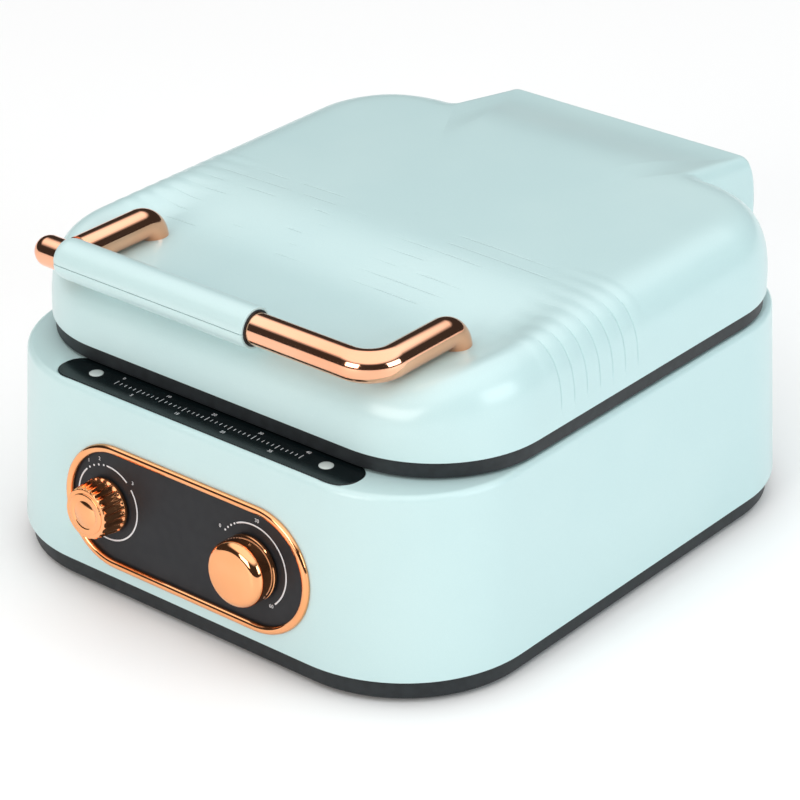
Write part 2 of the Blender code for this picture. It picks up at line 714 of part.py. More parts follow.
def make_lower_heater_parts(steel, sheet, ceramic):
    under = DECK_HEIGHT + GAP + PAN_FLANGE - PAN_DEPTH - PAN_WALL
    half_x = LID_WIDTH / 2 - HEATER_INSET
    half_y = LID_DEPTH / 2 - HEATER_INSET
    height = under - GAP - HEATER_RADIUS
    path = heater_loop(half_x, half_y, LID_CENTRE_Y, height, LID_CENTRE_Y - half_y + HEATER_TERMINAL)
    add_piece("lower_heater", tube_mesh("lower_heater", path, HEATER_RADIUS, (), HEATER_STEPS), steel)
    lean = math.tan(math.radians(PAN_DRAFT_DEG)) * (PAN_DEPTH - PAN_FILLET)
    edge = PAN_MARGIN + PAN_FLANGE_WIDTH + lean + PAN_FILLET
    top = under - GAP
    low = top - SHIELD_RISE
    rings = [lid_ring(edge + SHIELD_SLOPE, low), lid_ring(edge, top), lid_ring(edge + SHIELD_SHEET, top),
             lid_ring(edge + SHIELD_SLOPE + SHIELD_SHEET, low + SHIELD_SHEET)]
    add_piece("lower_heat_shield", loft(rings), sheet)
    add_cutoff("lower_thermal_cutoff", LID_CENTRE_Y, under - GAP, -1, ceramic, None)


def foot_places():
    reach = PLINTH_INSET + FOOT_INSET
    corner = BASE_CORNER - reach
    spread = corner * math.sqrt(0.5)
    x = BASE_WIDTH / 2 - BASE_CORNER + spread
    y = BASE_DEPTH / 2 - BASE_CORNER + spread
    return (("front_left", -x, -y), ("front_right", x, -y), ("rear_left", -x, y), ("rear_right", x, y))


def make_base_shell(material):
    top = DECK_HEIGHT
    rings = [base_ring(0.0, PLINTH_TOP)]
    for angle in EDGE_TURNS_DEG:
        turn = math.radians(angle)
        rings.append(base_ring(DECK_EDGE * (1 - math.cos(turn)), top - DECK_EDGE * (1 - math.sin(turn))))
    opening = PAN_MARGIN + PAN_SEAT
    rings.append(lid_ring(opening, top))
    rings.append(lid_ring(opening, top - DECK_THICKNESS))
    rings.append(base_ring(BASE_WALL + DECK_EDGE, top - DECK_THICKNESS))
    rings.append(base_ring(BASE_WALL, top - DECK_THICKNESS - DECK_EDGE))
    rings.append(base_ring(BASE_WALL, PLINTH_TOP))
    shell = add_piece("base_shell", loft(rings, closed=True), material)
    for name, x, y in foot_places():
        low = FOOT_DROP + PLINTH_FLOOR + GAP
        pillar = cylinder(PILLAR_RADIUS, (x, y, low), (x, y, top - DECK_THICKNESS / 2), SMALL_STEPS)
        boolean(shell, add_cutter("pillar_" + name, pillar), 'UNION')
        bore = cylinder(SCREW_BORE, (x, y, low - OVERRUN), (x, y, low + SCREW_ENGAGE + OVERRUN), SMALL_STEPS)
        boolean(shell, add_cutter("pillar_bore_" + name, bore))
    return shell


def panel_outline(shrink):
    """Stadium outline of the control panel, drawn in from the bezel's outer edge."""
    half = PANEL_HALF_HEIGHT - shrink
    return rounded_outline(PANEL_HALF_LENGTH - shrink, half, half, 0.0, PANEL_STEPS)


def panel_ring(shrink, height):
    return [(x, y, height) for x, y in panel_outline(shrink)]


def make_panel(panel_dark, rose, shell, panel_frame):
    fit = BEZEL_WIDTH - PANEL_FIT
    opening = extruded(panel_outline(fit - GAP), -BASE_WALL - OVERRUN, OVERRUN)
    boolean(shell, add_cutter("panel_opening", opening, panel_frame, True))
    face = -PANEL_SINK
    plate = add_piece("control_panel", extruded(panel_outline(fit), face - PANEL_THICKNESS, face),
                      panel_dark, panel_frame, True)
    for x, name in ((THERMOSTAT_X, "thermostat"), (TIMER_X, "timer")):
        hole = cylinder(SHAFT_HOLE, (x, 0, face - PANEL_THICKNESS - OVERRUN), (x, 0, face + OVERRUN), 24)
        boolean(plate, add_cutter(name + "_panel_hole", hole, panel_frame, True))
    low = GAP
    rings = []
    for x, z in arc_points((0.0, 0.0), 1.0, 180, 0, 5):
        rings.append(panel_ring(BEZEL_WIDTH * (1 + x) / 2, low + BEZEL_PROUD * z))
    add_piece("panel_bezel", loft(rings, closed=True), rose, panel_frame, True)


def fluted_ring(radius, depth, height):
    points = []
    steps = THERMOSTAT_KNOB_FLUTES * 4
    for step in range(steps):
        angle = 2 * math.pi * step / steps
        wave = (1 - math.cos(THERMOSTAT_KNOB_FLUTES * angle)) / 2
        points.append(((radius - depth * wave) * math.cos(angle), (radius - depth * wave) * math.sin(angle),
                       height))
    return points


def make_knobs(rose, steel, panel_frame):
    face = -PANEL_SINK
    low = KNOB_LIFT
    high = low + THERMOSTAT_KNOB_LENGTH
    thermostat_axis = make_empty("thermostat_axis", (THERMOSTAT_X, 0, face), 0.0, panel_frame)
    edge = FLUTE_DEPTH
    slope = (THERMOSTAT_KNOB_RADIUS - THERMOSTAT_KNOB_FRONT) / THERMOSTAT_KNOB_LENGTH
    rings = [fluted_ring(THERMOSTAT_KNOB_RADIUS, 0.0, low),
             fluted_ring(THERMOSTAT_KNOB_RADIUS - slope * KNOB_SKIRT, 0.0, low + KNOB_SKIRT),
             fluted_ring(THERMOSTAT_KNOB_RADIUS - slope * (KNOB_SKIRT + edge), FLUTE_DEPTH,
                         low + KNOB_SKIRT + edge),
             fluted_ring(THERMOSTAT_KNOB_FRONT, FLUTE_DEPTH, high - edge),
             fluted_ring(THERMOSTAT_KNOB_FRONT - edge, 0.0, high),
             fluted_ring(CAP_RADIUS, 0.0, high), fluted_ring(CAP_RADIUS - CAP_PROUD, 0.0, high + CAP_PROUD)]
    knob = add_piece("thermostat_knob", loft(rings), rose, thermostat_axis, True)
    add_knob_bore(knob, "thermostat", low, thermostat_axis)
    add_shaft("thermostat_shaft", steel, thermostat_axis)

    timer_axis = make_empty("timer_axis", (TIMER_X, 0, face), 0.0, panel_frame)
    top = low + TIMER_KNOB_LENGTH
    shoulder = top - TIMER_KNOB_CROWN
    radius = TIMER_KNOB_RADIUS
    profile = [(0.0, top), (radius / 2, top - TIMER_KNOB_CROWN / 4)]
    profile += arc_points((radius - TIMER_KNOB_ROUND, shoulder - TIMER_KNOB_ROUND), TIMER_KNOB_ROUND, 90, 0, 5)
    profile += [(radius, low + KNOB_SKIRT), (radius - KNOB_SKIRT / 2, low), (0.0, low)]
    knob = add_turned("timer_knob", profile, rose, timer_axis, 32)
    add_knob_bore(knob, "timer", low, timer_axis)
    add_shaft("timer_shaft", steel, timer_axis)


def add_knob_bore(knob, name, low, axis):
    bore = cylinder(SHAFT_RADIUS + GAP, (0, 0, low - OVERRUN), (0, 0, SHAFT_TIP + GAP), 20)
    boolean(knob, add_cutter(name + "_knob_bore", bore, axis, True))


def add_shaft(name, steel, axis):
    shaft = add_turned(name, [(0.0, SHAFT_TIP), (SHAFT_RADIUS, SHAFT_TIP), (SHAFT_RADIUS, -SHAFT_TAIL),
                              (0.0, -SHAFT_TAIL)], steel, axis, 20)
    flat = box((-SHAFT_RADIUS * 2, SHAFT_RADIUS / 2, 0.0), (SHAFT_RADIUS * 2, SHAFT_RADIUS * 2, SHAFT_TIP * 2))
    boolean(shaft, add_cutter(name + "_flat", flat, axis, True))


def make_control_bodies(plastic, panel_frame):
    """Thermostat and timer bodies behind the panel, each with a bush round its shaft."""
    back = -PANEL_THICKNESS - GAP
    controls = ((THERMOSTAT_X, "thermostat_body", THERMOSTAT_BODY), (TIMER_X, "timer_body", TIMER_BODY))
    for x, name, size in controls:
        axis = make_empty(name + "_place", (x, 0, -PANEL_SINK), 0.0, panel_frame)
        top = back - BUSH_LENGTH / 2
        shape = rounded_outline(size[0] / 2, size[1] / 2, BUSH_RADIUS, 0.0, 3)
        body = add_piece(name, extruded(shape, top - size[2], top), plastic, axis, True)
        bush = cylinder(BUSH_RADIUS, (0, 0, top - OVERRUN), (0, 0, back), 24)
        boolean(body, add_cutter(name + "_bush", bush, axis, True), 'UNION')
        bore = cylinder(SHAFT_RADIUS + GAP, (0, 0, -SHAFT_TAIL - GAP), (0, 0, OVERRUN), 20)
        boolean(body, add_cutter(name + "_bore", bore, axis, True))


def make_strip(glossy, lens, shell):
    centre_y = STRIP_WIDTH / 2 - STRIP_FRONT
    fit = STRIP_CORNER + GAP
    slot = extruded(rounded_outline(STRIP_LENGTH / 2 + GAP, STRIP_WIDTH / 2 + GAP, fit, centre_y, 6),
                    DECK_HEIGHT - STRIP_RECESS, DECK_HEIGHT + OVERRUN)
    boolean(shell, add_cutter("strip_recess", slot))
    low = DECK_HEIGHT - STRIP_RECESS + GAP
    outline = rounded_outline(STRIP_LENGTH / 2, STRIP_WIDTH / 2, STRIP_CORNER, centre_y, 6)
    strip = add_piece("display_strip", extruded(outline, low, low + STRIP_THICKNESS), glossy)
    head_low = low + STRIP_THICKNESS - LAMP_HEAD / 2
    for side, name in ((-1, "left"), (1, "right")):
        place = (side * LAMP_SPACING, LAMP_SET_BACK - STRIP_FRONT)
        stem = cylinder(LAMP_STEM + GAP, (*place, low - OVERRUN), (*place, DECK_HEIGHT + OVERRUN), 16)
        boolean(strip, add_cutter("lamp_hole_" + name, stem))
        stem = cylinder(LAMP_STEM + GAP, (*place, DECK_HEIGHT - 2 * OVERRUN),
                        (*place, DECK_HEIGHT + OVERRUN), 16)
        boolean(shell, add_cutter("lamp_stem_hole_" + name, stem))
        seat = cylinder(LAMP_RADIUS + GAP, (*place, head_low - GAP), (*place, DECK_HEIGHT + OVERRUN), 16)
        boolean(strip, add_cutter("lamp_seat_" + name, seat))
        spot = make_empty("lamp_place_" + name, (*place, head_low), 0.0, frame)
        profile = [(0.0, LAMP_HEAD), (LAMP_RADIUS / 2, LAMP_HEAD * LAMP_CROWN_SHARE), (LAMP_RADIUS, LAMP_HEAD / 2),
                   (LAMP_RADIUS, 0.0), (LAMP_STEM, 0.0), (LAMP_STEM, -LAMP_STEM_LENGTH),
                   (0.0, -LAMP_STEM_LENGTH)]
        add_turned("lamp_lens_" + name, profile, lens, spot, 16)


def make_bottom(plastic, rubber, steel):
    low = FOOT_DROP
    floor = low + PLINTH_FLOOR

    def ring(inset, height):
        return inset_ring(BASE_WIDTH / 2, BASE_DEPTH / 2, BASE_CORNER, PLINTH_INSET + inset, height)

    lip = DRAFT * PLINTH_LIP
    rings = [ring(PLINTH_WALL / 2, low), ring(0.0, low + PLINTH_WALL / 2), ring(0.0, PLINTH_TOP - GAP),
             ring(lip, PLINTH_TOP + PLINTH_LIP), ring(PLINTH_WALL + lip, PLINTH_TOP + PLINTH_LIP),
             ring(PLINTH_WALL, PLINTH_TOP), ring(PLINTH_WALL, floor)]
    plate = add_piece("bottom_plate", loft(rings), plastic)
    for side in (-1, 1):
        for index in range(VENT_COUNT):
            x = side * VENT_OFFSET_X
            y = (index - (VENT_COUNT - 1) / 2) * VENT_PITCH
            slot = rounded_outline(VENT_LENGTH / 2, VENT_WIDTH / 2, VENT_WIDTH / 2, y, 2)
            slot = [(x + px, py) for px, py in slot]
            name = "vent_%s_%d" % ("left" if side < 0 else "right", index + 1)
            boolean(plate, add_cutter(name, extruded(slot, low - OVERRUN, floor + OVERRUN)))
    for name, x, y in foot_places():
        hole = cylinder(SCREW_BORE + GAP, (x, y, low - OVERRUN), (x, y, floor + OVERRUN), SMALL_STEPS)
        boolean(plate, add_cutter("plate_hole_" + name, hole))
        place = make_empty("foot_place_" + name, (x, y, 0.0), 0.0, frame)
        top = low - GAP
        profile = [(FOOT_RADIUS, top), (FOOT_RADIUS, FOOT_WEB), (FOOT_RADIUS - FOOT_WEB / 2, 0.0),
                   (FOOT_BORE, 0.0), (FOOT_BORE, top)]
        add_turned("foot_" + name, profile, rubber, place, 16, True)
        spot = make_empty("base_screw_place_" + name, (x, y, low - GAP), math.pi, frame)
        add_screw("base_screw_" + name, spot, SCREW_HEAD, SCREW_HEAD_HEIGHT, SCREW_SHANK,
                  PLINTH_FLOOR + SCREW_ENGAGE, steel)


def make_brackets(plastic):
    """Two brackets on the rear wall; each neck leaves room for the hump's edge at full opening."""
    half = BRACKET_WIDTH / 2
    wall = BASE_DEPTH / 2 - DRAFT * (DECK_HEIGHT - PLINTH_TOP)
    low = DECK_HEIGHT - DECK_EDGE - BRACKET_DROP
    high = DECK_HEIGHT - DECK_EDGE
    wall_low = wall + DRAFT * (DECK_HEIGHT - low) + GAP
    wall_high = wall + DRAFT * DECK_EDGE + GAP
    edge_drop = PIN_HEIGHT - LID_EDGE_HEIGHT
    swing = math.hypot(HUMP_REAR - PIN_Y, edge_drop) + RUN_GAP
    edge_angle = math.degrees(math.atan2(edge_drop, HUMP_REAR - LID_WALL - PIN_Y))
    neck = -LID_OPEN_DEG - edge_angle - STOP_CLEARANCE_DEG
    outline = [(wall_high, high), (wall_low, low), (wall_low + BRACKET_PAD, low)]
    turn = math.radians(neck)
    outline.append((PIN_Y + swing * math.cos(turn), PIN_HEIGHT + swing * math.sin(turn)))
    outline += arc_points((PIN_Y, PIN_HEIGHT), KNUCKLE_RADIUS, neck, 180, 12)
    for side, name in ((1, "right"), (-1, "left")):
        centre = side * BRACKET_CENTRE
        bracket = add_piece("hinge_bracket_" + name, side_plate(outline, centre - half, centre + half), plastic)
        hole = cylinder(PIN_RADIUS + GAP, (centre - half - OVERRUN, PIN_Y, PIN_HEIGHT),
                        (centre + half + OVERRUN, PIN_Y, PIN_HEIGHT), 20)
        boolean(bracket, add_cutter("bracket_bore_" + name, hole))


def make_arms(steel, lid_frame, pivot):
    """Two arms that lie on the lid frame's floor and reach back to the pin inside the hump."""
    seat = LID_EDGE_HEIGHT
    arm_front = LID_REAR - PAN_MARGIN - PLATE_OPENING_MARGIN + RUN_GAP
    top_turn = math.degrees(math.asin((seat + ARM_THICKNESS - PIN_HEIGHT) / KNUCKLE_RADIUS))
    low_turn = math.degrees(math.asin((PIN_HEIGHT - seat) / KNUCKLE_RADIUS))
    outline = [(arm_front, seat + ARM_THICKNESS), (arm_front, seat)]
    outline += arc_points((PIN_Y, PIN_HEIGHT), KNUCKLE_RADIUS, low_turn - 180, 180 - top_turn, 14)
    outer = BRACKET_CENTRE - BRACKET_WIDTH / 2 - RUN_GAP
    for side, name in ((1, "right"), (-1, "left")):
        ends = sorted((side * outer, side * (outer - ARM_WIDTH)))
        arm = add_piece("hinge_arm_" + name, side_plate(outline, *ends), steel, pivot)
        hole = cylinder(PIN_RADIUS + GAP, (ends[0] - OVERRUN, PIN_Y, PIN_HEIGHT),
                        (ends[1] + OVERRUN, PIN_Y, PIN_HEIGHT), 20)
        boolean(arm, add_cutter("arm_bore_" + name, hole, pivot))
        notch = box((ends[0] - GAP, LID_REAR - LID_CORNER / 2, LID_EDGE_HEIGHT - GAP),
                    (ends[1] + GAP, LID_REAR, LID_EDGE_HEIGHT + FRAME_LIP + OVERRUN))
        boolean(lid_frame, add_cutter("lip_notch_" + name, notch, pivot))


def make_pin(steel):
    """Hinge pin through both brackets and arms: a head at one end and a ring clip at the other."""
    head = BRACKET_CENTRE + BRACKET_WIDTH / 2 + GAP
    place = make_empty("hinge_pin_place", (0.0, PIN_Y, PIN_HEIGHT), 0.0, frame)
    tail = head + CLIP_WIDTH + PIN_RADIUS / 2
    pin = add_piece("hinge_pin", cylinder(PIN_RADIUS, (-tail, 0, 0), (head + PIN_HEAD_LENGTH, 0, 0), 20),
                    steel, place, True)
    button = cylinder(PIN_HEAD, (head, 0, 0), (head + PIN_HEAD_LENGTH, 0, 0), 20)
    boolean(pin, add_cutter("pin_head", button, place, True), 'UNION')
    ring = [(PIN_HEAD, CLIP_WIDTH), (PIN_HEAD, 0.0), (PIN_RADIUS + GAP, 0.0), (PIN_RADIUS + GAP, CLIP_WIDTH)]
    clip = add_turned("hinge_pin_clip", ring, steel, place, 20, True)
    clip.rotation_euler = (0.0, math.pi / 2, 0.0)
    clip.location = (-head - CLIP_WIDTH, 0.0, 0.0)


def make_handle(rose, mint, plate, steel, pivot):
    x = LEG_SPACING
    top = HANDLE_HEIGHT
    crest = lid_crest(x, -FOOT_BACK)
    end = crest - LID_WALL - FOOT_DEPTH
    corners = [(x, -FOOT_BACK, end), (x, -FOOT_BACK, top), (x, -BAR_FRONT, top),
               (TUBE_RADIUS - BAR_LEFT_END, -BAR_FRONT, top)]
    path = bend_path(corners, (FOOT_BEND, ELBOW_RADIUS))
    bar = add_piece("handle_bar", tube_mesh("handle_bar", path, TUBE_RADIUS, ("last",)), rose, pivot)
    corners = [(-x, -FOOT_BACK, end), (-x, -FOOT_BACK, top), (-x, -BAR_FRONT, top)]
    path = bend_path(corners, (FOOT_BEND,))
    leg = add_piece("handle_left_leg", tube_mesh("handle_left_leg", path, TUBE_RADIUS), rose, pivot)
    cope = cylinder(TUBE_RADIUS + GAP, (-x - 4 * TUBE_RADIUS, -BAR_FRONT, top),
                    (-x + 4 * TUBE_RADIUS, -BAR_FRONT, top))
    boolean(leg, add_cutter("leg_cope", cope, pivot))
    trim = box((-x - 2 * TUBE_RADIUS, -BAR_FRONT - 2 * TUBE_RADIUS, top - 2 * TUBE_RADIUS),
               (-x + 2 * TUBE_RADIUS, -BAR_FRONT, top + 2 * TUBE_RADIUS))
    boolean(leg, add_cutter("leg_trim", trim, pivot))
    for side, name, tube in ((1, "right", bar), (-1, "left", leg)):
        bore = cylinder(HANDLE_SCREW_BORE, (side * x, -FOOT_BACK, end - OVERRUN),
                        (side * x, -FOOT_BACK, end + HANDLE_SCREW_ENGAGE + GAP), 16)
        boolean(tube, add_cutter("handle_screw_bore_" + name, bore, pivot))
        clamp_top = end - GAP
        clamp = box((side * x - CLAMP_SIDE / 2, -FOOT_BACK - CLAMP_SIDE / 2, clamp_top - CLAMP_THICKNESS),
                    (side * x + CLAMP_SIDE / 2, -FOOT_BACK + CLAMP_SIDE / 2, clamp_top))
        clamp = add_piece("handle_clamp_" + name, clamp, plate, pivot)
        hole = cylinder(HANDLE_SCREW_BORE, (side * x, -FOOT_BACK, clamp_top - CLAMP_THICKNESS - OVERRUN),
                        (side * x, -FOOT_BACK, clamp_top + OVERRUN), 16)
        boolean(clamp, add_cutter("clamp_hole_" + name, hole, pivot))
        seat = clamp_top - CLAMP_THICKNESS - GAP
        place = make_empty("handle_screw_place_" + name, (side * x, -FOOT_BACK - PIN_Y, seat - PIN_HEIGHT),
                           math.pi, pivot)
        add_screw("handle_screw_" + name, place, SCREW_HEAD, SCREW_HEAD_HEIGHT, HANDLE_SCREW_SHANK,
                  CLAMP_THICKNESS + HANDLE_SCREW_ENGAGE - GAP, steel)

    make_grip("grip_upper", 1, mint, pivot)
    make_grip("grip_lower", -1, mint, pivot)


def make_grip(name, side, mint, pivot):
    """Half of the grip sleeve, split at the tube's middle, with a bore for the crossbar."""
    centre = Vector((0.0, -BAR_FRONT, HANDLE_HEIGHT))
    steps = 12
    ends = [(-GRIP_LEFT + GRIP_DOME * (1 - math.cos(math.radians(turn))),
             GRIP_RADIUS - GRIP_ROUND * (1 - math.sin(math.radians(turn)))) for turn in EDGE_TURNS_DEG]
    ends += [(GRIP_RIGHT - GAP, GRIP_RADIUS), (GRIP_RIGHT, GRIP_RADIUS - GAP)]
    rings = []
    bore = TUBE_RADIUS + GAP
    for x, radius in ends + [(GRIP_RIGHT, bore), (-GRIP_LEFT, bore)]:
        ring = []
        for step in range(2 * steps):
            angle = math.pi * step / steps
            ring.append(centre + Vector((x, radius * math.cos(angle), radius * math.sin(angle))))
        rings.append(ring)
    grip = add_piece(name, loft(rings, closed=True), mint, pivot)
    reach = 2 * GRIP_RADIUS
    middle = HANDLE_HEIGHT + side * GAP / 2
    far = HANDLE_HEIGHT - side * reach
    half = box((-GRIP_LEFT - reach, -BAR_FRONT - reach, min(middle, far)),
               (GRIP_RIGHT + reach, -BAR_FRONT + reach, max(middle, far)))
    boolean(grip, add_cutter(name + "_split", half, pivot))
    hole = cylinder(TUBE_RADIUS + GAP, (-LEG_SPACING, -BAR_FRONT, HANDLE_HEIGHT),
                    (-LEG_SPACING, -BAR_FRONT + reach, HANDLE_HEIGHT))
    boolean(grip, add_cutter(name + "_leg_hole", hole, pivot))
    return grip


def make_rear_fittings(plastic, ceramic, shell):
    x = GLAND_OFFSET
    height = GLAND_HEIGHT
    y = BASE_DEPTH / 2 - DRAFT * (height - PLINTH_TOP)
    flange_turn = -math.pi / 2 + math.radians(BASE_DRAFT_DEG)
    place = make_empty("gland_place", (x, y, height), flange_turn, frame)
    hole = cylinder(GLAND_NECK + GAP, (0, 0, -BASE_WALL - OVERRUN), (0, 0, OVERRUN), 24)
    boolean(shell, add_cutter("gland_hole", hole, place, True))
    back = -BASE_WALL - GAP
    tail = back - GLAND_FLANGE_LENGTH
    profile = [(GLAND_NECK - GAP, GLAND_FLANGE_LENGTH + GAP), (GLAND_FLANGE, GLAND_FLANGE_LENGTH / 2),
               (GLAND_FLANGE, GAP), (GLAND_NECK, GAP), (GLAND_NECK, back), (GLAND_NECK + GLAND_NUT, back),
               (GLAND_NECK, tail), (GLAND_BORE, tail), (GLAND_BORE, GLAND_FLANGE_LENGTH + GAP)]
    add_turned("cord_gland", profile, plastic, place, 20, True)
    width, depth, tall = TERMINAL_SIZE
    low = FOOT_DROP + PLINTH_FLOOR + GAP
    centre_y = y - BASE_WALL - 2 * GLAND_NECK - depth
    block = box((x - width / 2, centre_y - depth / 2, low), (x + width / 2, centre_y + depth / 2, low + tall))
    block = add_piece("terminal_block", block, ceramic)
    for index in range(TERMINAL_POLES):
        pole_x = x + (index - (TERMINAL_POLES - 1) / 2) * width / TERMINAL_POLES
        bore = cylinder(TERMINAL_BORE, (pole_x, centre_y - depth, low + tall / 3),
                        (pole_x, centre_y + depth, low + tall / 3), SMALL_STEPS)
        boolean(block, add_cutter("pole_%d" % (index + 1), bore))
        bore = cylinder(TERMINAL_BORE, (pole_x, centre_y, low + tall / 2),
                        (pole_x, centre_y, low + tall + OVERRUN), SMALL_STEPS)
        boolean(block, add_cutter("pole_screw_%d" % (index + 1), bore))


def main():
    global parts, cutters, frame
    clear_scene()
    parts = make_collection("electric_baking_pan")
    cutters = make_collection("cutters")
    frame = make_empty("pan_frame", (0.0, FRAME_SHIFT, 0.0))

    mint = make_material("mint_paint", (0.64, 0.82, 0.79), 0.32)
    black = make_material("black_plastic", (0.022, 0.026, 0.028), 0.45)
    panel_dark = make_material("panel_dark", (0.045, 0.047, 0.053), 0.25)
    glossy = make_material("glossy_black", (0.012, 0.018, 0.020), 0.12)
    lens = make_material("lens_white", (0.70, 0.76, 0.74), 0.30)
    rose = make_material("rose_gold", (0.86, 0.50, 0.34), 0.16, 1.0)
    steel = make_material("steel", (0.55, 0.55, 0.56), 0.30, 1.0)
    sheet = make_material("aluminised_sheet", (0.72, 0.73, 0.74), 0.35, 1.0)
    nonstick = make_material("nonstick_coating", (0.030, 0.030, 0.032), 0.38)
    rubber = make_material("rubber", (0.030, 0.030, 0.032), 0.80)
    ceramic = make_material("ceramic_white", (0.80, 0.78, 0.72), 0.45)
    housing = make_material("control_housing", (0.30, 0.30, 0.31), 0.55)

    pivot = make_empty("lid_pivot", (0.0, PIN_Y, PIN_HEIGHT), 0.0, frame)
    upright = math.pi / 2 - math.radians(BASE_DRAFT_DEG)
    panel_frame = make_empty("panel_frame", (0.0, PANEL_FACE_Y, PANEL_HEIGHT), upright, frame)

    shell = make_base_shell(mint)
    make_bottom(black, rubber, steel)
    make_lower_pan(nonstick)
    make_lower_heater_parts(steel, sheet, ceramic)
    make_panel(panel_dark, rose, shell, panel_frame)
    make_knobs(rose, steel, panel_frame)
    make_control_bodies(housing, panel_frame)
    make_strip(glossy, lens, shell)
    make_rear_fittings(black, ceramic, shell)
    make_lid_shell(mint, pivot)
    lid_frame = make_lid_frame(black, pivot)
    make_upper_plate(nonstick, pivot)
    make_plate_screws(steel, pivot)
    make_upper_heater_parts(steel, sheet, ceramic, pivot)
    make_brackets(black)
    make_arms(steel, lid_frame, pivot)
    make_pin(steel)
    make_handle(rose, mint, sheet, steel, pivot)


main()
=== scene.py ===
# %% [markdown]
# # Dressing an electric baking pan
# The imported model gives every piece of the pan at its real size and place, but as coarse facets in one
# plain colour. This lesson rebuilds what the eye sees: a drafted mint housing, a pillow-shaped lid with
# pressed grooves, rose-gold metalwork, a dark control panel and a black scale strip. The frame is loaded
# first, because each later cell reads its sizes from it and so needs no fitting.

import json
import math
from types import SimpleNamespace

import bmesh
import bpy
from mathutils import Matrix, Vector


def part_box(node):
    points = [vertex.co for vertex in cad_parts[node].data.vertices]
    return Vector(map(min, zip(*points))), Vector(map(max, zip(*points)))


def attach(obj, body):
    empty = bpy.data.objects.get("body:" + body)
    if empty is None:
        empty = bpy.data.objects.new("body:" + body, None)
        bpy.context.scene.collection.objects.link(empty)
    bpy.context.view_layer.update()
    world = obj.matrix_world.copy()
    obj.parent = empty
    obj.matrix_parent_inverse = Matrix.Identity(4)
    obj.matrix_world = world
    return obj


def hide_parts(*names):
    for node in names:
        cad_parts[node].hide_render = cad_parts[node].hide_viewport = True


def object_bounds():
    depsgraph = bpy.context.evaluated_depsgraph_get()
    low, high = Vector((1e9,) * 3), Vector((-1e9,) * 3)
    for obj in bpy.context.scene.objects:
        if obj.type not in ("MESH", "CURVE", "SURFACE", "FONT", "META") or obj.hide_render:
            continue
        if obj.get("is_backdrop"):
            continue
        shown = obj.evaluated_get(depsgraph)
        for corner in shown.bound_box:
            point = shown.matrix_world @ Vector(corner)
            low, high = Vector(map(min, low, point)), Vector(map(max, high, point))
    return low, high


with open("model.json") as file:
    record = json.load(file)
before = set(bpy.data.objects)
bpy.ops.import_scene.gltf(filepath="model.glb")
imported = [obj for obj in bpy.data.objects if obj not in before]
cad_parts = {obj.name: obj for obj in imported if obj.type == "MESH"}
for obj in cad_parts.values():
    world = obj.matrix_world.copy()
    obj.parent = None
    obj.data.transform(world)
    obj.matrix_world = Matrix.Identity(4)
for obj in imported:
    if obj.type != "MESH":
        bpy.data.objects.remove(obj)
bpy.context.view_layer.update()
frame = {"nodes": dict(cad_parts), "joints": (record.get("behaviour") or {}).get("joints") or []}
joints = {joint["name"]: joint for joint in frame["joints"]}

# %% [markdown]
# ## The camera
# The picture was fitted with a long lens, far from the pan, looking down at 27.5 degrees and round at
# 39.4 degrees to the right of the front. A long lens keeps the sides of the housing almost parallel.
# The camera is a position and a direction; its roll is zero, so the world's Z stays upright in the frame.

# %% Camera
CAMERA_PLACE = Vector((0.9981, -1.2254, 0.8857))
CAMERA_AZIMUTH = math.radians(39.44)
CAMERA_ELEVATION = math.radians(27.5)
CAMERA_LENS = 141.7
SENSOR_WIDTH = 36.0
CLIP_START = 0.05


def linked(name, data):
    """A new object in the scene, at the origin, unturned and unscaled."""
    thing = bpy.data.objects.new(name, data)
    bpy.context.scene.collection.objects.link(thing)
    return thing


def make_camera():
    data = bpy.data.cameras.new("camera")
    data.lens = CAMERA_LENS
    data.sensor_width = SENSOR_WIDTH
    data.clip_start = CLIP_START
    camera = linked("camera", data)
    camera.location = CAMERA_PLACE
    level = math.cos(CAMERA_ELEVATION)
    back = Vector((math.sin(CAMERA_AZIMUTH) * level, -math.cos(CAMERA_AZIMUTH) * level,
                   math.sin(CAMERA_ELEVATION)))
    camera.rotation_euler = back.to_track_quat('Z', 'Y').to_euler()
    bpy.context.scene.camera = camera
    print("camera at", tuple(round(value, 3) for value in camera.location), "lens", data.lens)


make_camera()

# %% [markdown]
# ## Maths inside node trees
# A pattern is a formula, and a formula reads best as one line of Python. `Value` wraps a number's socket
# and overloads the operators: `1 - mask` adds a Math node and hands back its output. It works in shader
# trees and in geometry trees, because the Math node is the same in the two.


# %% Sockets as values
def announce(kind):
    """Print what a helper class can do."""
    print(kind.__name__ + ":", ", ".join(name for name in vars(kind) if not name.startswith("_")))


class Value:
    """What comes out of a node; arithmetic on it adds Math nodes."""

    def __init__(self, nodes, socket):
        self.nodes = nodes
        self.socket = socket

    def math(self, operation, *others):
        return self.nodes.add("ShaderNodeMath", {"operation": operation}, self, *others)

    def __add__(self, other):
        return self.math('ADD', other)

    def __sub__(self, other):
        return self.math('SUBTRACT', other)

    def __rsub__(self, other):
        return self.nodes.add("ShaderNodeMath", {"operation": 'SUBTRACT'}, other, self)

    def __mul__(self, other):
        return self.math('MULTIPLY', other)

    def __truediv__(self, other):
        return self.math('DIVIDE', other)

    def __abs__(self):
        return self.math('ABSOLUTE')

    __radd__ = __add__
    __rmul__ = __mul__

    def ramp(self, low, high):
        """0 below low, 1 above high, and an S curve between them."""
        return self.nodes.add("ShaderNodeMapRange", {"interpolation_type": 'SMOOTHSTEP'}, self, low, high)

    def rise(self, start, run):
        """A ramp given by where it starts and how long it runs."""
        return self.ramp(start, start + run)


announce(Value)

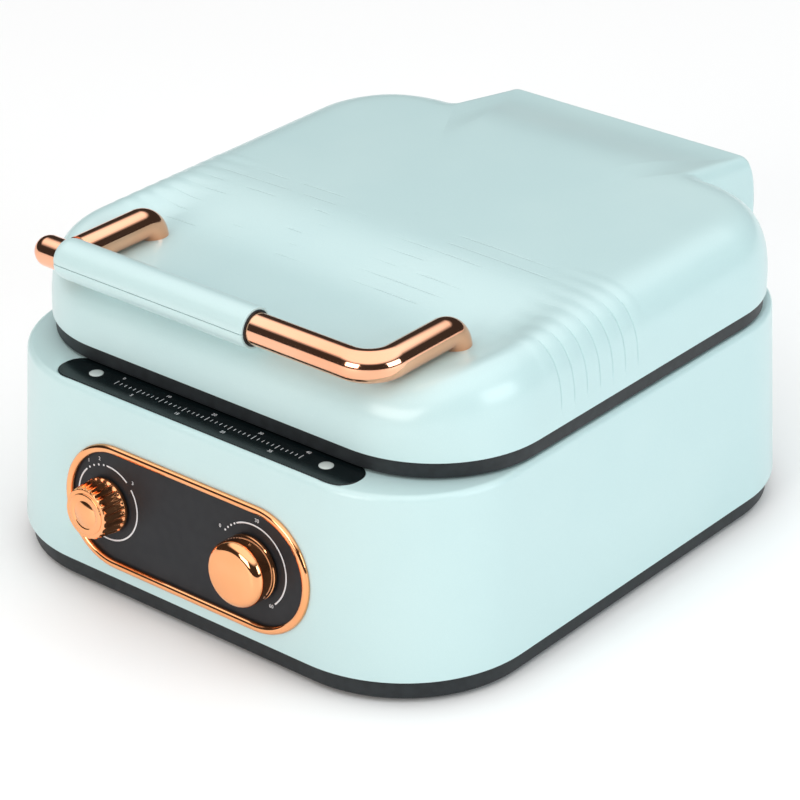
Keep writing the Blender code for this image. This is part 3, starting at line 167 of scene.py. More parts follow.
# %% [markdown]
# ### Adding nodes
# `Nodes.add` makes any node from its type, its settings and its inputs, and gives back the output that the
# next node needs. An input may be a plain number or the `Value` of another node; `feed` sees which of the
# two it has, and sets the socket or draws a link.


# %% Adding nodes
class Nodes:
    """Adds nodes to one tree: first the settings, then the inputs in order or by name."""

    def __init__(self, tree):
        self.tree = tree

    def feed(self, socket, value):
        if isinstance(value, Value):
            self.tree.links.new(value.socket, socket)
        else:
            socket.default_value = value

    def add(self, kind, settings=None, *values, out=0, **named):
        node = self.tree.nodes.new(kind)
        for name, value in (settings or {}).items():
            setattr(node, name, value)
        for index, value in enumerate(values):
            self.feed(node.inputs[index], value)
        for name, value in named.items():
            self.feed(node.inputs[name.replace("_", " ")], value)
        return Value(self, node.outputs[out])

    def mixed(self, share, first, second):
        """Colour mix; the Mix node keeps its colour sockets behind the number ones."""
        node = self.tree.nodes.new("ShaderNodeMix")
        node.data_type = 'RGBA'
        self.feed(node.inputs[0], share)
        self.feed(node.inputs[6], first)
        self.feed(node.inputs[7], second)
        return Value(self, node.outputs[2])

    def split(self, vector):
        node = self.tree.nodes.new("ShaderNodeSeparateXYZ")
        self.feed(node.inputs[0], vector)
        return [Value(self, output) for output in node.outputs]


announce(Nodes)

# %% [markdown]
# ## A finish and how its surface varies
# Every finish is one Principled shader. What is the same all over is set on the shader itself; what varies
# (a tint, a gloss, a bump) comes from noise on Object coordinates, so it stays put when a piece moves.
# Nearly every real surface has three of these: a slow drift in its tint, a finer one in its gloss, and a
# bump so small that it only softens the highlights.


# %% Finish
class Finish:
    def __init__(self, name, **sockets):
        self.material = bpy.data.materials.new(name)
        self.material.use_nodes = True
        tree = self.material.node_tree
        self.nodes = Nodes(tree)
        self.shader = tree.nodes["Principled BSDF"]
        for socket, value in sockets.items():
            self.shader.inputs[socket.replace("_", " ")].default_value = value
        self.place = self.nodes.add("ShaderNodeTexCoord", out="Object")

    def feed(self, socket, value):
        self.nodes.feed(self.shader.inputs[socket], value)

    def noise(self, scale, detail=2.0, stretch=None):
        place = self.place
        if stretch:
            place = self.nodes.add("ShaderNodeMapping", None, place, Scale=stretch)
        return self.nodes.add("ShaderNodeTexNoise", None, Vector=place, Scale=scale, Detail=detail)

    def bump(self, height, distance, strength=1.0):
        normal = self.nodes.add("ShaderNodeBump", None, Height=height, Distance=distance, Strength=strength)
        self.feed("Normal", normal)

    def tint(self, share, first, second):
        self.feed("Base Color", self.nodes.mixed(share, (*first, 1.0), (*second, 1.0)))


announce(Finish)

# %% [markdown]
# ### Mint paint
# The housing, lid and grip are moulded plastic with a satin pearl paint. Two nearly equal mints drift into
# each other over a few centimetres, a very fine speckle stands for the pearl, and a shallow orange-peel
# bump breaks up the softbox reflections. A thin clear coat gives the second, sharper highlight.
# The lid's top also carries hairline continuations of its pressed grooves; they are only hundredths of a
# millimetre deep, so a bump makes them, and the deep part on the shoulders is real geometry further on.

# %% Mint paint
MINT_LIGHT = (0.545, 0.720, 0.724)
MINT_DEEP = (0.520, 0.700, 0.708)
MINT_PEARL = (0.640, 0.800, 0.785)
GROOVE_FIRST = -0.0757
GROOVE_PITCH = 0.0111
GROOVE_COUNT = 7
PEEL_SCALE = 420.0
PEEL_DEPTH = 0.00004
HAIRLINE_DEPTH = 0.00020
HAIRLINE_WANDER = 0.0016
HAIRLINE_WIDTH = (0.0001, 0.0007)
HAIRLINE_START = (0.006, 0.040)
HAIRLINE_END = (0.112, 0.136)
HAIRLINE_LOW = (0.150, 0.160)


def mint_finish(name):
    finish = Finish(name, Coat_Weight=0.25, Coat_Roughness=0.12, IOR=1.48)
    drift = finish.noise(9.0, 3.0)
    pearl = finish.noise(3200.0, 0.0).ramp(0.60, 0.78)
    slow = finish.nodes.mixed(drift.ramp(0.35, 0.65), (*MINT_DEEP, 1.0), (*MINT_LIGHT, 1.0))
    finish.feed("Base Color", finish.nodes.mixed(pearl * 0.35, slow, (*MINT_PEARL, 1.0)))
    finish.feed("Roughness", 0.27 + finish.noise(40.0, 4.0) * 0.10)
    return finish


def groove_phase(y):
    """Distance from the nearest groove line, in metres, at a place y along the lid."""
    phase = (y - GROOVE_FIRST) / GROOVE_PITCH
    index = phase.math('ROUND').math('MAXIMUM', 0.0).math('MINIMUM', GROOVE_COUNT - 1.0)
    return abs(phase - index) * GROOVE_PITCH


paint = mint_finish("mint_paint")
paint.bump(paint.noise(PEEL_SCALE, 1.0), PEEL_DEPTH)
mint_paint = paint.material

paint = mint_finish("mint_paint_lid")
side, along, height = paint.nodes.split(paint.place)
wander = (paint.noise(26.0, 2.0) - 0.5) * HAIRLINE_WANDER
hairline = 1 - groove_phase(along + wander).ramp(*HAIRLINE_WIDTH)
reach = abs(side).ramp(*HAIRLINE_START) * (1 - abs(side).ramp(*HAIRLINE_END))
broken = paint.noise(38.0, 1.0).ramp(0.47, 0.58) * height.ramp(*HAIRLINE_LOW)
peel = paint.noise(PEEL_SCALE, 1.0) * (PEEL_DEPTH / HAIRLINE_DEPTH)
paint.bump(peel - hairline * reach * broken, HAIRLINE_DEPTH)
mint_paint_lid = paint.material
print("paints:", mint_paint.name, mint_paint_lid.name, "with", GROOVE_COUNT, "grooves")

# %% [markdown]
# ### Rose gold
# The handle, bezel and knobs are plated and polished. Metal takes its colour from its reflection tint, so
# the tint is everything: a warm copper with a slightly deeper drift, pinker on the handle than on the
# knobs. Fine polishing lines, stretched along the piece, vary the gloss a little and stop the reflections
# from looking like a mirror ball.

# %% Rose gold
ROSE_LIGHT = (0.950, 0.500, 0.320)
ROSE_DEEP = (0.920, 0.435, 0.260)
COPPER_LIGHT = (0.960, 0.450, 0.215)
COPPER_DEEP = (0.930, 0.400, 0.170)


def rose_finish(name, deep, light, stretch, lines):
    finish = Finish(name, Metallic=1.0)
    finish.tint(finish.noise(25.0, 3.0).ramp(0.3, 0.7), deep, light)
    polish = finish.noise(90.0, 4.0, stretch)
    finish.feed("Roughness", 0.05 + polish * 0.07)
    finish.bump(finish.noise(lines, 2.0, stretch), 0.000004)
    return finish.material


rose_gold = rose_finish("rose_gold", ROSE_DEEP, ROSE_LIGHT, (0.15, 1.0, 1.0), 900.0)
rose_gold_knob = rose_finish("rose_gold_knob", COPPER_DEEP, COPPER_LIGHT, (1.0, 1.0, 1.0), 500.0)
print("metals:", rose_gold.name, rose_gold_knob.name)

# %% [markdown]
# ### Dark and hidden finishes
# Black mouldings have a fine spark-eroded grain. The panel is a printed dark sheet under a satin coat, and
# the strip is glossier. The pan and plate have a sprayed non-stick coating with pale flecks. Steel is
# brushed, sheet has a spangle, rubber is matt and ceramic is chalky. One function makes the family, because
# they differ only in numbers.


# %% Dark and hidden finishes
BRUSHED = (0.05, 1.0, 1.0)


def grained(name, first, second, rough, spread, scale, depth, stretch=None, **sockets):
    """A finish between two tints, with a roughness and its spread, and a grain's scale and depth."""
    finish = Finish(name, **sockets)
    finish.tint(finish.noise(scale * 0.15, 3.0, stretch).ramp(0.35, 0.65), first, second)
    finish.feed("Roughness", rough + finish.noise(scale * 0.3, 3.0, stretch) * spread)
    finish.bump(finish.noise(scale, 2.0, stretch), depth)
    return finish.material


black_plastic = grained("black_plastic", (0.012, 0.015, 0.017), (0.017, 0.021, 0.024), 0.40, 0.16,
                        1500.0, 0.00003, Specular_IOR_Level=0.35)
rubber = grained("rubber", (0.024, 0.024, 0.025), (0.035, 0.035, 0.036), 0.66, 0.2, 900.0, 0.00005)
steel = grained("steel", (0.50, 0.50, 0.51), (0.60, 0.60, 0.61), 0.22, 0.16, 700.0, 0.00001, BRUSHED,
                Metallic=1.0)
sheet_metal = grained("aluminised_sheet", (0.64, 0.65, 0.66), (0.76, 0.77, 0.78), 0.26, 0.2,
                      160.0, 0.00001, Metallic=1.0)
ceramic = grained("ceramic", (0.76, 0.74, 0.68), (0.83, 0.81, 0.75), 0.42, 0.2, 500.0, 0.00003)
housing_grey = grained("control_housing", (0.26, 0.26, 0.27), (0.32, 0.32, 0.33), 0.45, 0.15,
                       1200.0, 0.00002)
panel_dark = grained("panel_dark", (0.019, 0.020, 0.023), (0.022, 0.023, 0.026), 0.38, 0.10,
                     1100.0, 0.000002, Specular_IOR_Level=0.2)
glossy_black = grained("glossy_black", (0.004, 0.008, 0.009), (0.006, 0.010, 0.011), 0.14, 0.08,
                       600.0, 0.000003, Specular_IOR_Level=0.4)
print_white = grained("print_white", (0.72, 0.73, 0.75), (0.80, 0.81, 0.83), 0.45, 0.1, 900.0, 0.00001)
lamp_lens = grained("lamp_lens", (0.52, 0.58, 0.57), (0.62, 0.68, 0.66), 0.18, 0.1, 500.0, 0.00001,
                    Coat_Weight=0.5)


def nonstick_finish():
    finish = Finish("nonstick", Coat_Weight=0.15, Coat_Roughness=0.25)
    flecks = finish.noise(1400.0, 1.0).ramp(0.66, 0.70)
    finish.tint(flecks * 0.8, (0.020, 0.020, 0.021), (0.17, 0.17, 0.17))
    finish.feed("Roughness", 0.34 + finish.noise(60.0, 3.0) * 0.12)
    finish.bump(finish.noise(900.0, 2.0), 0.00003)
    return finish.material


nonstick = nonstick_finish()

# %% [markdown]
# ## From rings to surfaces
# Nearly every moulding here is a rounded rectangle that changes size with height. A ring is that outline at
# one height, and a loft skins a row of rings. The coarse model does the same with few steps; here the
# corners get enough points to look round at any distance. Knobs, feet and lamps are lofts of circles.

# %% Rings and lofts
CORNER_POINTS = 24
SAME_POINT = 1e-6
SAME_POLE = 1e-7


def rounded(half_x, half_y, corner, centre_y=0.0, points=CORNER_POINTS):
    outline = []
    for turn, (side_x, side_y) in enumerate(((1, 1), (-1, 1), (-1, -1), (1, -1))):
        for step in range(points + 1):
            angle = math.radians(90.0 * (turn + step / points))
            outline.append((side_x * (half_x - corner) + corner * math.cos(angle),
                            centre_y + side_y * (half_y - corner) + corner * math.sin(angle)))
    return outline


def arc(centre, radius, start, end, steps):
    """Points on an arc from start to end, in degrees."""
    x, y = centre
    angles = [math.radians(start + (end - start) * step / steps) for step in range(steps + 1)]
    return [(x + radius * math.cos(angle), y + radius * math.sin(angle)) for angle in angles]


def quarter(steps):
    """Cosine and sine at even steps of a quarter turn, for a rounded edge."""
    return arc((0.0, 0.0), 1.0, 0.0, 90.0, steps)


def raised(outline, height):
    return [(x, y, height) for x, y in outline]


def skin(bm, rings, closed=False, wrap=True):
    """Faces between neighbouring rings: closed joins the last ring to the first, wrap the ends of each."""
    rows = [[bm.verts.new(point) for point in points] for points in rings]
    pairs = list(zip(rows, rows[1:]))
    if closed:
        pairs.append((rows[-1], rows[0]))
    for lower, upper in pairs:
        for here in range(len(lower) if wrap else len(lower) - 1):
            there = (here + 1) % len(lower)
            bm.faces.new((lower[here], lower[there], upper[there], upper[here]))
    return rows


def loft(rings, closed=False):
    """A solid from rings: a closed tube, or a row with a face at both ends."""
    bm = bmesh.new()
    rows = skin(bm, rings, closed)
    if not closed:
        bm.faces.new(reversed(rows[0]))
        bm.faces.new(rows[-1])
    return bm


def circle(radius, height, steps):
    turns = [2 * math.pi * step / steps for step in range(steps)]
    return [(radius * math.cos(turn), radius * math.sin(turn), height) for turn in turns]


def turned(profile, steps=96):
    """Spin a profile of (radius, height) round Z; a radius of zero is a pole."""
    bm = loft([circle(radius, height, steps) for radius, height in profile])
    bmesh.ops.remove_doubles(bm, verts=bm.verts, dist=SAME_POLE)
    return bm


def slab(outline, low, high):
    return loft([raised(outline, low), raised(outline, high)])


def block(size_x, size_y, low, high):
    x, y = size_x / 2, size_y / 2
    return slab([(-x, -y), (x, -y), (x, y), (-x, y)], low, high)


print("a rounded outline has", len(rounded(1.0, 1.0, 0.5)), "points")

# %% [markdown]
# ### From surfaces to pieces
# `new_piece` makes an object of a mesh that was built in memory, and `settle` hangs it on the body that
# carries it, hides the coarse nodes it stands for and prints the finish it has in the record. Modifiers do
# the cutting and the rounding, and `baked` keeps only their result, so that every piece ends up as a plain
# mesh.


# %% Pieces
def shaded(mesh, sharp):
    """Smooth shading, with edges over the given number of degrees kept sharp."""
    mesh.shade_smooth()
    mesh.set_sharp_from_angle(angle=math.radians(sharp))


def new_piece(name, bm, material, place=None, smooth=35.0):
    if place:
        bmesh.ops.transform(bm, matrix=place, verts=bm.verts)
    bmesh.ops.recalc_face_normals(bm, faces=bm.faces)
    mesh = bpy.data.meshes.new(name)
    bm.to_mesh(mesh)
    bm.free()
    mesh.materials.append(material)
    shaded(mesh, smooth)
    return linked(name, mesh)


def settle(piece, body, slot, *nodes):
    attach(piece, body)
    if nodes:
        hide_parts(*nodes)
    print("%s: %d faces, on %s, %s" % (piece.name, len(piece.data.polygons), body, slot))
    return piece


def baked(piece):
    """Replace a piece's mesh by what its modifiers make of it, and remove them."""
    depsgraph = bpy.context.evaluated_depsgraph_get()
    mesh = bpy.data.meshes.new_from_object(piece.evaluated_get(depsgraph))
    piece.modifiers.clear()
    piece.data = mesh
    return piece


def cut(piece, *tools):
    """Cut closed tools out of a piece; the tools are removed afterwards."""
    for tool in tools:
        modifier = piece.modifiers.new("cut", 'BOOLEAN')
        modifier.operation = 'DIFFERENCE'
        modifier.object = tool
    baked(piece)
    for tool in tools:
        bpy.data.objects.remove(tool, do_unlink=True)
    return piece


# %% [markdown]
# ## Geometry trees
# What repeats is grown by Geometry Nodes. A tree is a small program: it takes named inputs, makes points or
# curves, puts a copy of something on each, turns the copies into real faces and gives them their finish.
# `geometry_tree` makes an empty tree with its inputs, and `grow` runs it on a piece and keeps the result
# as a plain mesh. Inputs are set by their identifier, which never changes, and not by their label.


# %% Geometry tree helpers
def geometry_tree(name, **inputs):
    """A tree with a geometry input and output, and inputs given as a kind of socket and its labels."""
    tree = bpy.data.node_groups.new(name, 'GeometryNodeTree')
    tree.interface.new_socket("Geometry", in_out='INPUT', socket_type='NodeSocketGeometry')
    for kind, labels in inputs.items():
        for label in labels.split(", "):
            tree.interface.new_socket(label, in_out='INPUT', socket_type="NodeSocket" + kind)
    tree.interface.new_socket("Geometry", in_out='OUTPUT', socket_type='NodeSocketGeometry')
    nodes = Nodes(tree)
    sockets = [output for output in tree.nodes.new("NodeGroupInput").outputs if output.name]
    values = {output.name.replace(" ", "_"): Value(nodes, output) for output in sockets}
    return tree, nodes, SimpleNamespace(**values)


def deliver(tree, nodes, geometry, material):
    """Close a tree: real faces instead of instances, then the finish, then the output."""
    real = nodes.add("GeometryNodeRealizeInstances", None, geometry)
    real = nodes.add("GeometryNodeSetMaterial", None, real, Material=material)
    nodes.feed(tree.nodes.new("NodeGroupOutput").inputs[0], real)
    print("tree %s: %d nodes" % (tree.name, len(tree.nodes)))


def grow(piece, tree, **inputs):
    modifier = piece.modifiers.new(tree.name, 'NODES')
    modifier.node_group = tree
    for item in tree.interface.items_tree:
        label = item.name.replace(" ", "_")
        if item.in_out == 'INPUT' and label in inputs:
            modifier[item.identifier] = inputs[label]
    return baked(piece)


print("node groups so far:", len(bpy.data.node_groups))

# %% [markdown]
# ### Copies on points
# Feet, screws, vent slots, dots and ticks all repeat one small shape. The tree puts a copy of it on each
# loose point of a mesh and turns it as the point says. Copying beats modelling each one, because a change
# of the pattern then changes them all.


# %% Copies
def points_piece(name, places, turns=None):
    """A mesh of loose points, each with a turn about X, Y and Z, for a tree to put copies on."""
    mesh = bpy.data.meshes.new(name)
    mesh.from_pydata([tuple(place) for place in places], [], [])
    attribute = mesh.attributes.new("turn", 'FLOAT_VECTOR', 'POINT')
    for index in range(len(places)):
        attribute.data[index].vector = turns[index] if turns else (0.0, 0.0, 0.0)
    return linked(name, mesh)


def copies_tree():
    """Puts a copy of one object on every point, turned as the point says."""
    tree, nodes, inputs = geometry_tree("copies", Object="Copy", Material="Finish")
    copy = nodes.add("GeometryNodeObjectInfo", None, inputs.Copy, out="Geometry")
    turn = nodes.add("GeometryNodeInputNamedAttribute", {"data_type": 'FLOAT_VECTOR'}, "turn")
    turn = nodes.add("FunctionNodeEulerToRotation", None, turn)
    placed = nodes.add("GeometryNodeInstanceOnPoints", None, inputs.Geometry, Instance=copy, Rotation=turn)
    deliver(tree, nodes, placed, inputs.Finish)
    return tree


COPIES = copies_tree()


def scatter(name, bm, places, material, turns=None):
    """Copies of one small mesh at many places, as one plain piece."""
    pattern = new_piece(name + "_pattern", bm, material)
    piece = grow(points_piece(name, places, turns), COPIES, Copy=pattern, Finish=material)
    bpy.data.objects.remove(pattern, do_unlink=True)
    return piece


# %% [markdown]
# ## Sizes from the coarse model
# The housing is a drafted, rounded-square wall, and the lid repeats its outline a little smaller. Their
# sizes come from the boxes of the coarse nodes, so the fine pieces fit at once; the draft and the corner
# radii are the moulding's own. `base_ring` and `lid_rings` give the outlines at any inset and height.

# %% Sizes and outlines
DRAFT = math.tan(math.radians(3.15))
BASE_CORNER = 0.0781
LID_CORNER = 0.068
SKIRT_INSET = 0.0016
PLINTH_HEIGHT = 0.0115
GAP = 0.0003

base_low, base_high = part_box("base_shell")
frame_low, frame_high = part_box("lid_frame")
CENTRE_Y = (base_low.y + base_high.y) / 2
BASE_HALF_X = base_high.x
BASE_HALF_Y = (base_high.y - base_low.y) / 2
PLINTH_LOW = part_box("bottom_plate")[0].z
PLINTH_TOP = PLINTH_LOW + PLINTH_HEIGHT
DECK = base_high.z
LID_HALF_X = frame_high.x + SKIRT_INSET
LID_HALF_Y = (frame_high.y - frame_low.y) / 2 + SKIRT_INSET
LID_Y = (frame_low.y + frame_high.y) / 2


def ring(half_x, half_y, corner, centre_y, inset, height):
    return raised(rounded(half_x - inset, half_y - inset, corner - inset, centre_y), height)


def base_ring(inset, height):
    """A ring on the leaning wall, or inside it by the inset."""
    lean = DRAFT * (height - PLINTH_TOP)
    return ring(BASE_HALF_X, BASE_HALF_Y, BASE_CORNER, CENTRE_Y, inset + lean, height)


def lid_rings(*sizes):
    """Rings of the lid's outline, each from an inset and a height."""
    return [ring(LID_HALF_X, LID_HALF_Y, LID_CORNER, LID_Y, inset, height) for inset, height in sizes]


print("base %.4f by %.4f m, deck at %.4f m" % (2 * BASE_HALF_X, 2 * BASE_HALF_Y, DECK))
print("lid %.4f by %.4f m" % (2 * LID_HALF_X, 2 * LID_HALF_Y))

# %% [markdown]
# ### Outlines of panel and strip
# Panel, print and knobs all lie on the leaning front wall. One matrix carries them there: its Z is the
# knobs' own turning axis, which their joint gives. The panel is a stadium and the strip a rounded bar, and
# each outline serves twice, for the opening in the housing and for the piece that fills it.

# %% Panel and strip outlines
PANEL_HALF_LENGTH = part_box("panel_bezel")[1].x
PANEL_HALF_HEIGHT = 0.0362
STRIP_CORNER = 0.0108
THERMOSTAT_X = joints["thermostat_turn"]["pos_m"][0]
TIMER_X = joints["timer_turn"]["pos_m"][0]

strip_low, strip_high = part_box("display_strip")
STRIP_Y = (strip_low.y + strip_high.y) / 2
STRIP_HALF_X = strip_high.x
STRIP_HALF_Y = (strip_high.y - strip_low.y) / 2


def panel_place():
    """The panel's own axes: X to the right, Y up the leaning wall, Z out of it."""
    joint = joints["timer_turn"]
    out = Vector(joint["axis"]).normalized()
    across = Vector((1.0, 0.0, 0.0))
    turn = Matrix((across, out.cross(across), out)).transposed().to_4x4()
    return Matrix.Translation((0.0, *joint["pos_m"][1:])) @ turn


def stadium(shrink, points=32):
    half = PANEL_HALF_HEIGHT - shrink
    return rounded(PANEL_HALF_LENGTH - shrink, half, half, 0.0, points)


def strip_outline(grown):
    return rounded(STRIP_HALF_X + grown, STRIP_HALF_Y + grown, STRIP_CORNER + grown, STRIP_Y, 16)


PANEL = panel_place()
print("panel at", tuple(round(value, 4) for value in PANEL.translation), "strip at y %.4f" % STRIP_Y)

# %% [markdown]
# ## The base housing
# The wall is one closed row of rings: up the outside, over the small edge radius, across the flat deck to
# the pan's opening, and down the inside, so it has its real thickness. The panel's opening and the strip's
# recess are cut through it afterwards, as a tool would do in the mould. Weighted normals keep the light
# even on the flat parts beside the cuts.

# %% Base housing
BASE_WALL = 0.0025
DECK_EDGE = 0.0034
DECK_THICKNESS = 0.0025
WALL_FOOT = ((0.0006, 0.0), (0.0001, 0.0002), (0.0, 0.0007))
OPENING_EDGE = 0.0008
PAN_MARGIN = 0.011
PAN_SEAT = 0.004
BEZEL_WIDTH = 0.0046
PANEL_FIT = 0.0022
STRIP_RECESS = 0.0012
CUT_DEPTH = 0.004


def make_base():
    opening = PAN_MARGIN + PAN_SEAT
    ceiling = DECK - DECK_THICKNESS
    rings = [base_ring(inset, PLINTH_TOP + rise) for inset, rise in WALL_FOOT]
    rings += [base_ring(DECK_EDGE * (1 - cos), DECK - DECK_EDGE * (1 - sin)) for cos, sin in quarter(8)]
    rings += lid_rings((opening - OPENING_EDGE, DECK), (opening, DECK - OPENING_EDGE), (opening, ceiling))
    rings += [base_ring(BASE_WALL + DECK_EDGE, ceiling), base_ring(BASE_WALL, ceiling - DECK_EDGE),
              base_ring(BASE_WALL, PLINTH_TOP)]
    piece = new_piece("housing", loft(rings, closed=True), mint_paint)
    hole = slab(stadium(BEZEL_WIDTH - PANEL_FIT - GAP), -BASE_WALL - CUT_DEPTH, CUT_DEPTH)
    hole = new_piece("panel_hole", hole, mint_paint, PANEL)
    recess = slab(strip_outline(GAP), DECK - STRIP_RECESS, DECK + CUT_DEPTH)
    recess = new_piece("strip_recess", recess, mint_paint)
    cut(piece, hole, recess)
    even = piece.modifiers.new("even", 'WEIGHTED_NORMAL')
    even.keep_sharp = True
    baked(piece)
    settle(piece, "base", "mint_paint", "base_shell")


make_base()

# %% [markdown]
# ## The black plinth and the feet
# Under the mint wall stands a black tray, set back a few millimetres so that it reads as a shadow line. It
# has two rows of vent slots. The slots repeat, so a geometry tree places one slot-shaped cutter on each
# point of a grid, and all of them are cut in one go. The feet are the same idea with a turned rubber ring.

# %% Plinth and feet
PLINTH_INSET = 0.0034
PLINTH_WALL = 0.0022
PLINTH_FLOOR = 0.0025
PLINTH_LIP = 0.0065
PLINTH_ROUND = 0.0011
VENT_LENGTH = 0.046
VENT_WIDTH = 0.0034
VENT_PITCH = 0.0085
VENT_COUNT = 5
VENT_X = 0.062
FOOT_RADIUS = 0.0115
FOOT_BORE = 0.0048
FOOT_EDGE = 0.0007
FOOT_STEPS = 48
CORNERS = ("front_left", "front_right", "rear_left", "rear_right")


def make_plinth():
    low = PLINTH_LOW
    top = PLINTH_TOP - GAP
    lip = DRAFT * PLINTH_LIP
    sizes = [(PLINTH_ROUND * (1 - sin), low + PLINTH_ROUND * (1 - cos)) for cos, sin in quarter(6)]
    sizes += [(0.0, top - PLINTH_ROUND), (0.0, top), (lip, top + PLINTH_LIP),
              (lip + PLINTH_WALL, top + PLINTH_LIP), (PLINTH_WALL, top), (PLINTH_WALL, low + PLINTH_FLOOR)]
    rings = [ring(BASE_HALF_X, BASE_HALF_Y, BASE_CORNER, CENTRE_Y, inset + PLINTH_INSET, height)
             for inset, height in sizes]
    piece = new_piece("plinth", loft(rings), black_plastic)
    slot = slab(rounded(VENT_LENGTH / 2, VENT_WIDTH / 2, VENT_WIDTH / 2, 0.0, 6), -CUT_DEPTH, CUT_DEPTH)
    middle = (VENT_COUNT - 1) / 2
    places = [(side * VENT_X, CENTRE_Y + (index - middle) * VENT_PITCH, low + PLINTH_FLOOR / 2)
              for side in (-1, 1) for index in range(VENT_COUNT)]
    cut(piece, scatter("vent_slots", slot, places, black_plastic))
    settle(piece, "base", "black_plastic", "bottom_plate")


def under(nodes, height):
    """The middle of each node in plan, at one height."""
    middles = [sum(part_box(node), Vector()) / 2 for node in nodes]
    return [(middle.x, middle.y, height) for middle in middles]


def make_feet():
    nodes = ["foot_" + corner for corner in CORNERS]
    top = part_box(nodes[0])[1].z
    profile = [(FOOT_BORE, top), (FOOT_RADIUS, top), (FOOT_RADIUS, FOOT_EDGE * 2),
               (FOOT_RADIUS - FOOT_EDGE / 2, FOOT_EDGE / 2), (FOOT_RADIUS - FOOT_EDGE * 2, 0.0),
               (FOOT_BORE + FOOT_EDGE, 0.0), (FOOT_BORE, FOOT_EDGE)]
    rings = [circle(radius, height, FOOT_STEPS) for radius, height in profile]
    piece = scatter("feet", loft(rings, closed=True), under(nodes, 0.0), rubber)
    settle(piece, "base", "rubber", *nodes)


make_plinth()
make_feet()

# %% [markdown]
# ## The lid
# The lid is one moulded pillow. How high its top lies over any point of the plan is a formula of that point
# alone: a slight dome, a fall towards the front between the handle's feet, and a step down to the hump. So
# crown, front fall and hump blend without seams. The sides get dense rows of points where the grooves go.

# %% Lid heights
LID_SHOULDER = 0.035
LID_RISE = 0.0464
LID_DOME = 0.0025
FRONT_DROP = 0.0095
DROP_START = 0.014
DROP_RUN = 0.070
DROP_FADE = 0.030
HUMP_STEP = 0.0080
HUMP_BLEND = 0.75
TUBE_RADIUS = 0.0088
SIDE_STEPS = 140
GROOVE_WIDTH = 0.0013

lid_low, lid_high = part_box("lid_shell")
bar_low, bar_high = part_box("handle_bar")
EDGE = lid_low.z
CREST = EDGE + LID_RISE
LEG_X = bar_high.x - TUBE_RADIUS
LID_FRONT_Y = LID_Y - LID_HALF_Y
LID_REAR_Y = LID_Y + LID_HALF_Y
HUMP_REAR_Y = lid_high.y


def side_rows():
    """Places along the lid's side: even rows, and close ones across each groove."""
    front = LID_FRONT_Y + LID_CORNER
    rear = LID_REAR_Y - LID_CORNER
    rows = [front + (rear - front) * step / SIDE_STEPS for step in range(1, SIDE_STEPS)]
    for index in range(GROOVE_COUNT):
        line = GROOVE_FIRST + index * GROOVE_PITCH
        close = [line + GROOVE_WIDTH * step / 8 for step in range(-5, 6)]
        rows = [y for y in rows if abs(y - line) > GROOVE_WIDTH * 0.75] + close
    return sorted(rows)


SIDE_ROWS = side_rows()


def s_curve(value):
    share = min(max(value, 0.0), 1.0)
    return share * share * (3.0 - 2.0 * share)


def lid_crest(x, y):
    dome = LID_DOME * (1.0 - (x / LID_HALF_X) ** 2)
    front = FRONT_DROP * s_curve((CENTRE_Y - y - DROP_START) / DROP_RUN)
    front *= 1.0 - s_curve((abs(x) - LEG_X - TUBE_RADIUS) / DROP_FADE)
    reach = LID_SHOULDER + (HUMP_REAR_Y - LID_REAR_Y) * HUMP_BLEND
    fall = s_curve((y - LID_REAR_Y + LID_SHOULDER) / reach)
    return CREST + dome - front - (HUMP_STEP + dome) * fall


print("lid from %.4f to %.4f m, %d rows along its side" % (EDGE, lid_crest(0.0, LID_Y), len(SIDE_ROWS)))

# %% [markdown]
# ### Outline and rings of the lid
# The plan is a rounded square with a hinge hump at the rear. It is drawn in step by step while it rises, so
# that the shoulder follows a superellipse; the rings stand closest near the foot, where it rises steeply.
# From the last of them the crown's rings shrink to one point in the middle.

# %% Lid outline and rings
SHOULDER_POWER = 3.0
SHOULDER_RINGS = 34
RING_CROWDING = 2.2
CROWN_RINGS = 16
HUMP_NECK = 0.00125
HUMP_CORNER = 0.006
HUMP_TOP_CORNER = 0.003
HUMP_SHOULDER = 0.010
HUMP_HALF_X = LID_HALF_X - LID_CORNER - HUMP_NECK
FRONT_STEPS = 12
NECK_STEPS = 8
HUMP_CORNER_STEPS = 12
HUMP_STEPS = 10


def lid_outline(share):
    """Plan outline of lid and hump from the middle of the front round the right side to the left."""
    lid_in = LID_SHOULDER * share
    hump_in = HUMP_SHOULDER * share
    corner = LID_CORNER - lid_in
    corner_x = LID_HALF_X - LID_CORNER
    front_y = LID_FRONT_Y + LID_CORNER
    rear_y = LID_REAR_Y - LID_CORNER
    neck = HUMP_NECK + hump_in
    hump_x = HUMP_HALF_X - hump_in
    hump_corner = HUMP_CORNER + (HUMP_TOP_CORNER - HUMP_CORNER) * share
    hump_y = HUMP_REAR_Y - hump_in
    right = [(corner_x * step / FRONT_STEPS, front_y - corner) for step in range(1, FRONT_STEPS)]
    right += arc((corner_x, front_y), corner, -90, 0, CORNER_POINTS)
    right += [(LID_HALF_X - lid_in, y) for y in SIDE_ROWS]
    right += arc((corner_x, rear_y), corner, 0, 90, CORNER_POINTS)
    right += arc((corner_x, LID_REAR_Y - lid_in + neck), neck, 270, 180, NECK_STEPS)[1:]
    right += arc((hump_x - hump_corner, hump_y - hump_corner), hump_corner, 0, 90, HUMP_CORNER_STEPS)
    right += [((hump_x - hump_corner) * (1 - step / HUMP_STEPS), hump_y) for step in range(1, HUMP_STEPS)]
    left = [(-x, y) for x, y in reversed(right)]
    return [(0.0, front_y - corner)] + right + [(0.0, hump_y)] + left


def shoulder_ring(share):
    rise = (1.0 - (1.0 - share) ** SHOULDER_POWER) ** (1.0 / SHOULDER_POWER)
    return [(x, y, EDGE + (lid_crest(x, y) - EDGE) * rise) for x, y in lid_outline(share)]


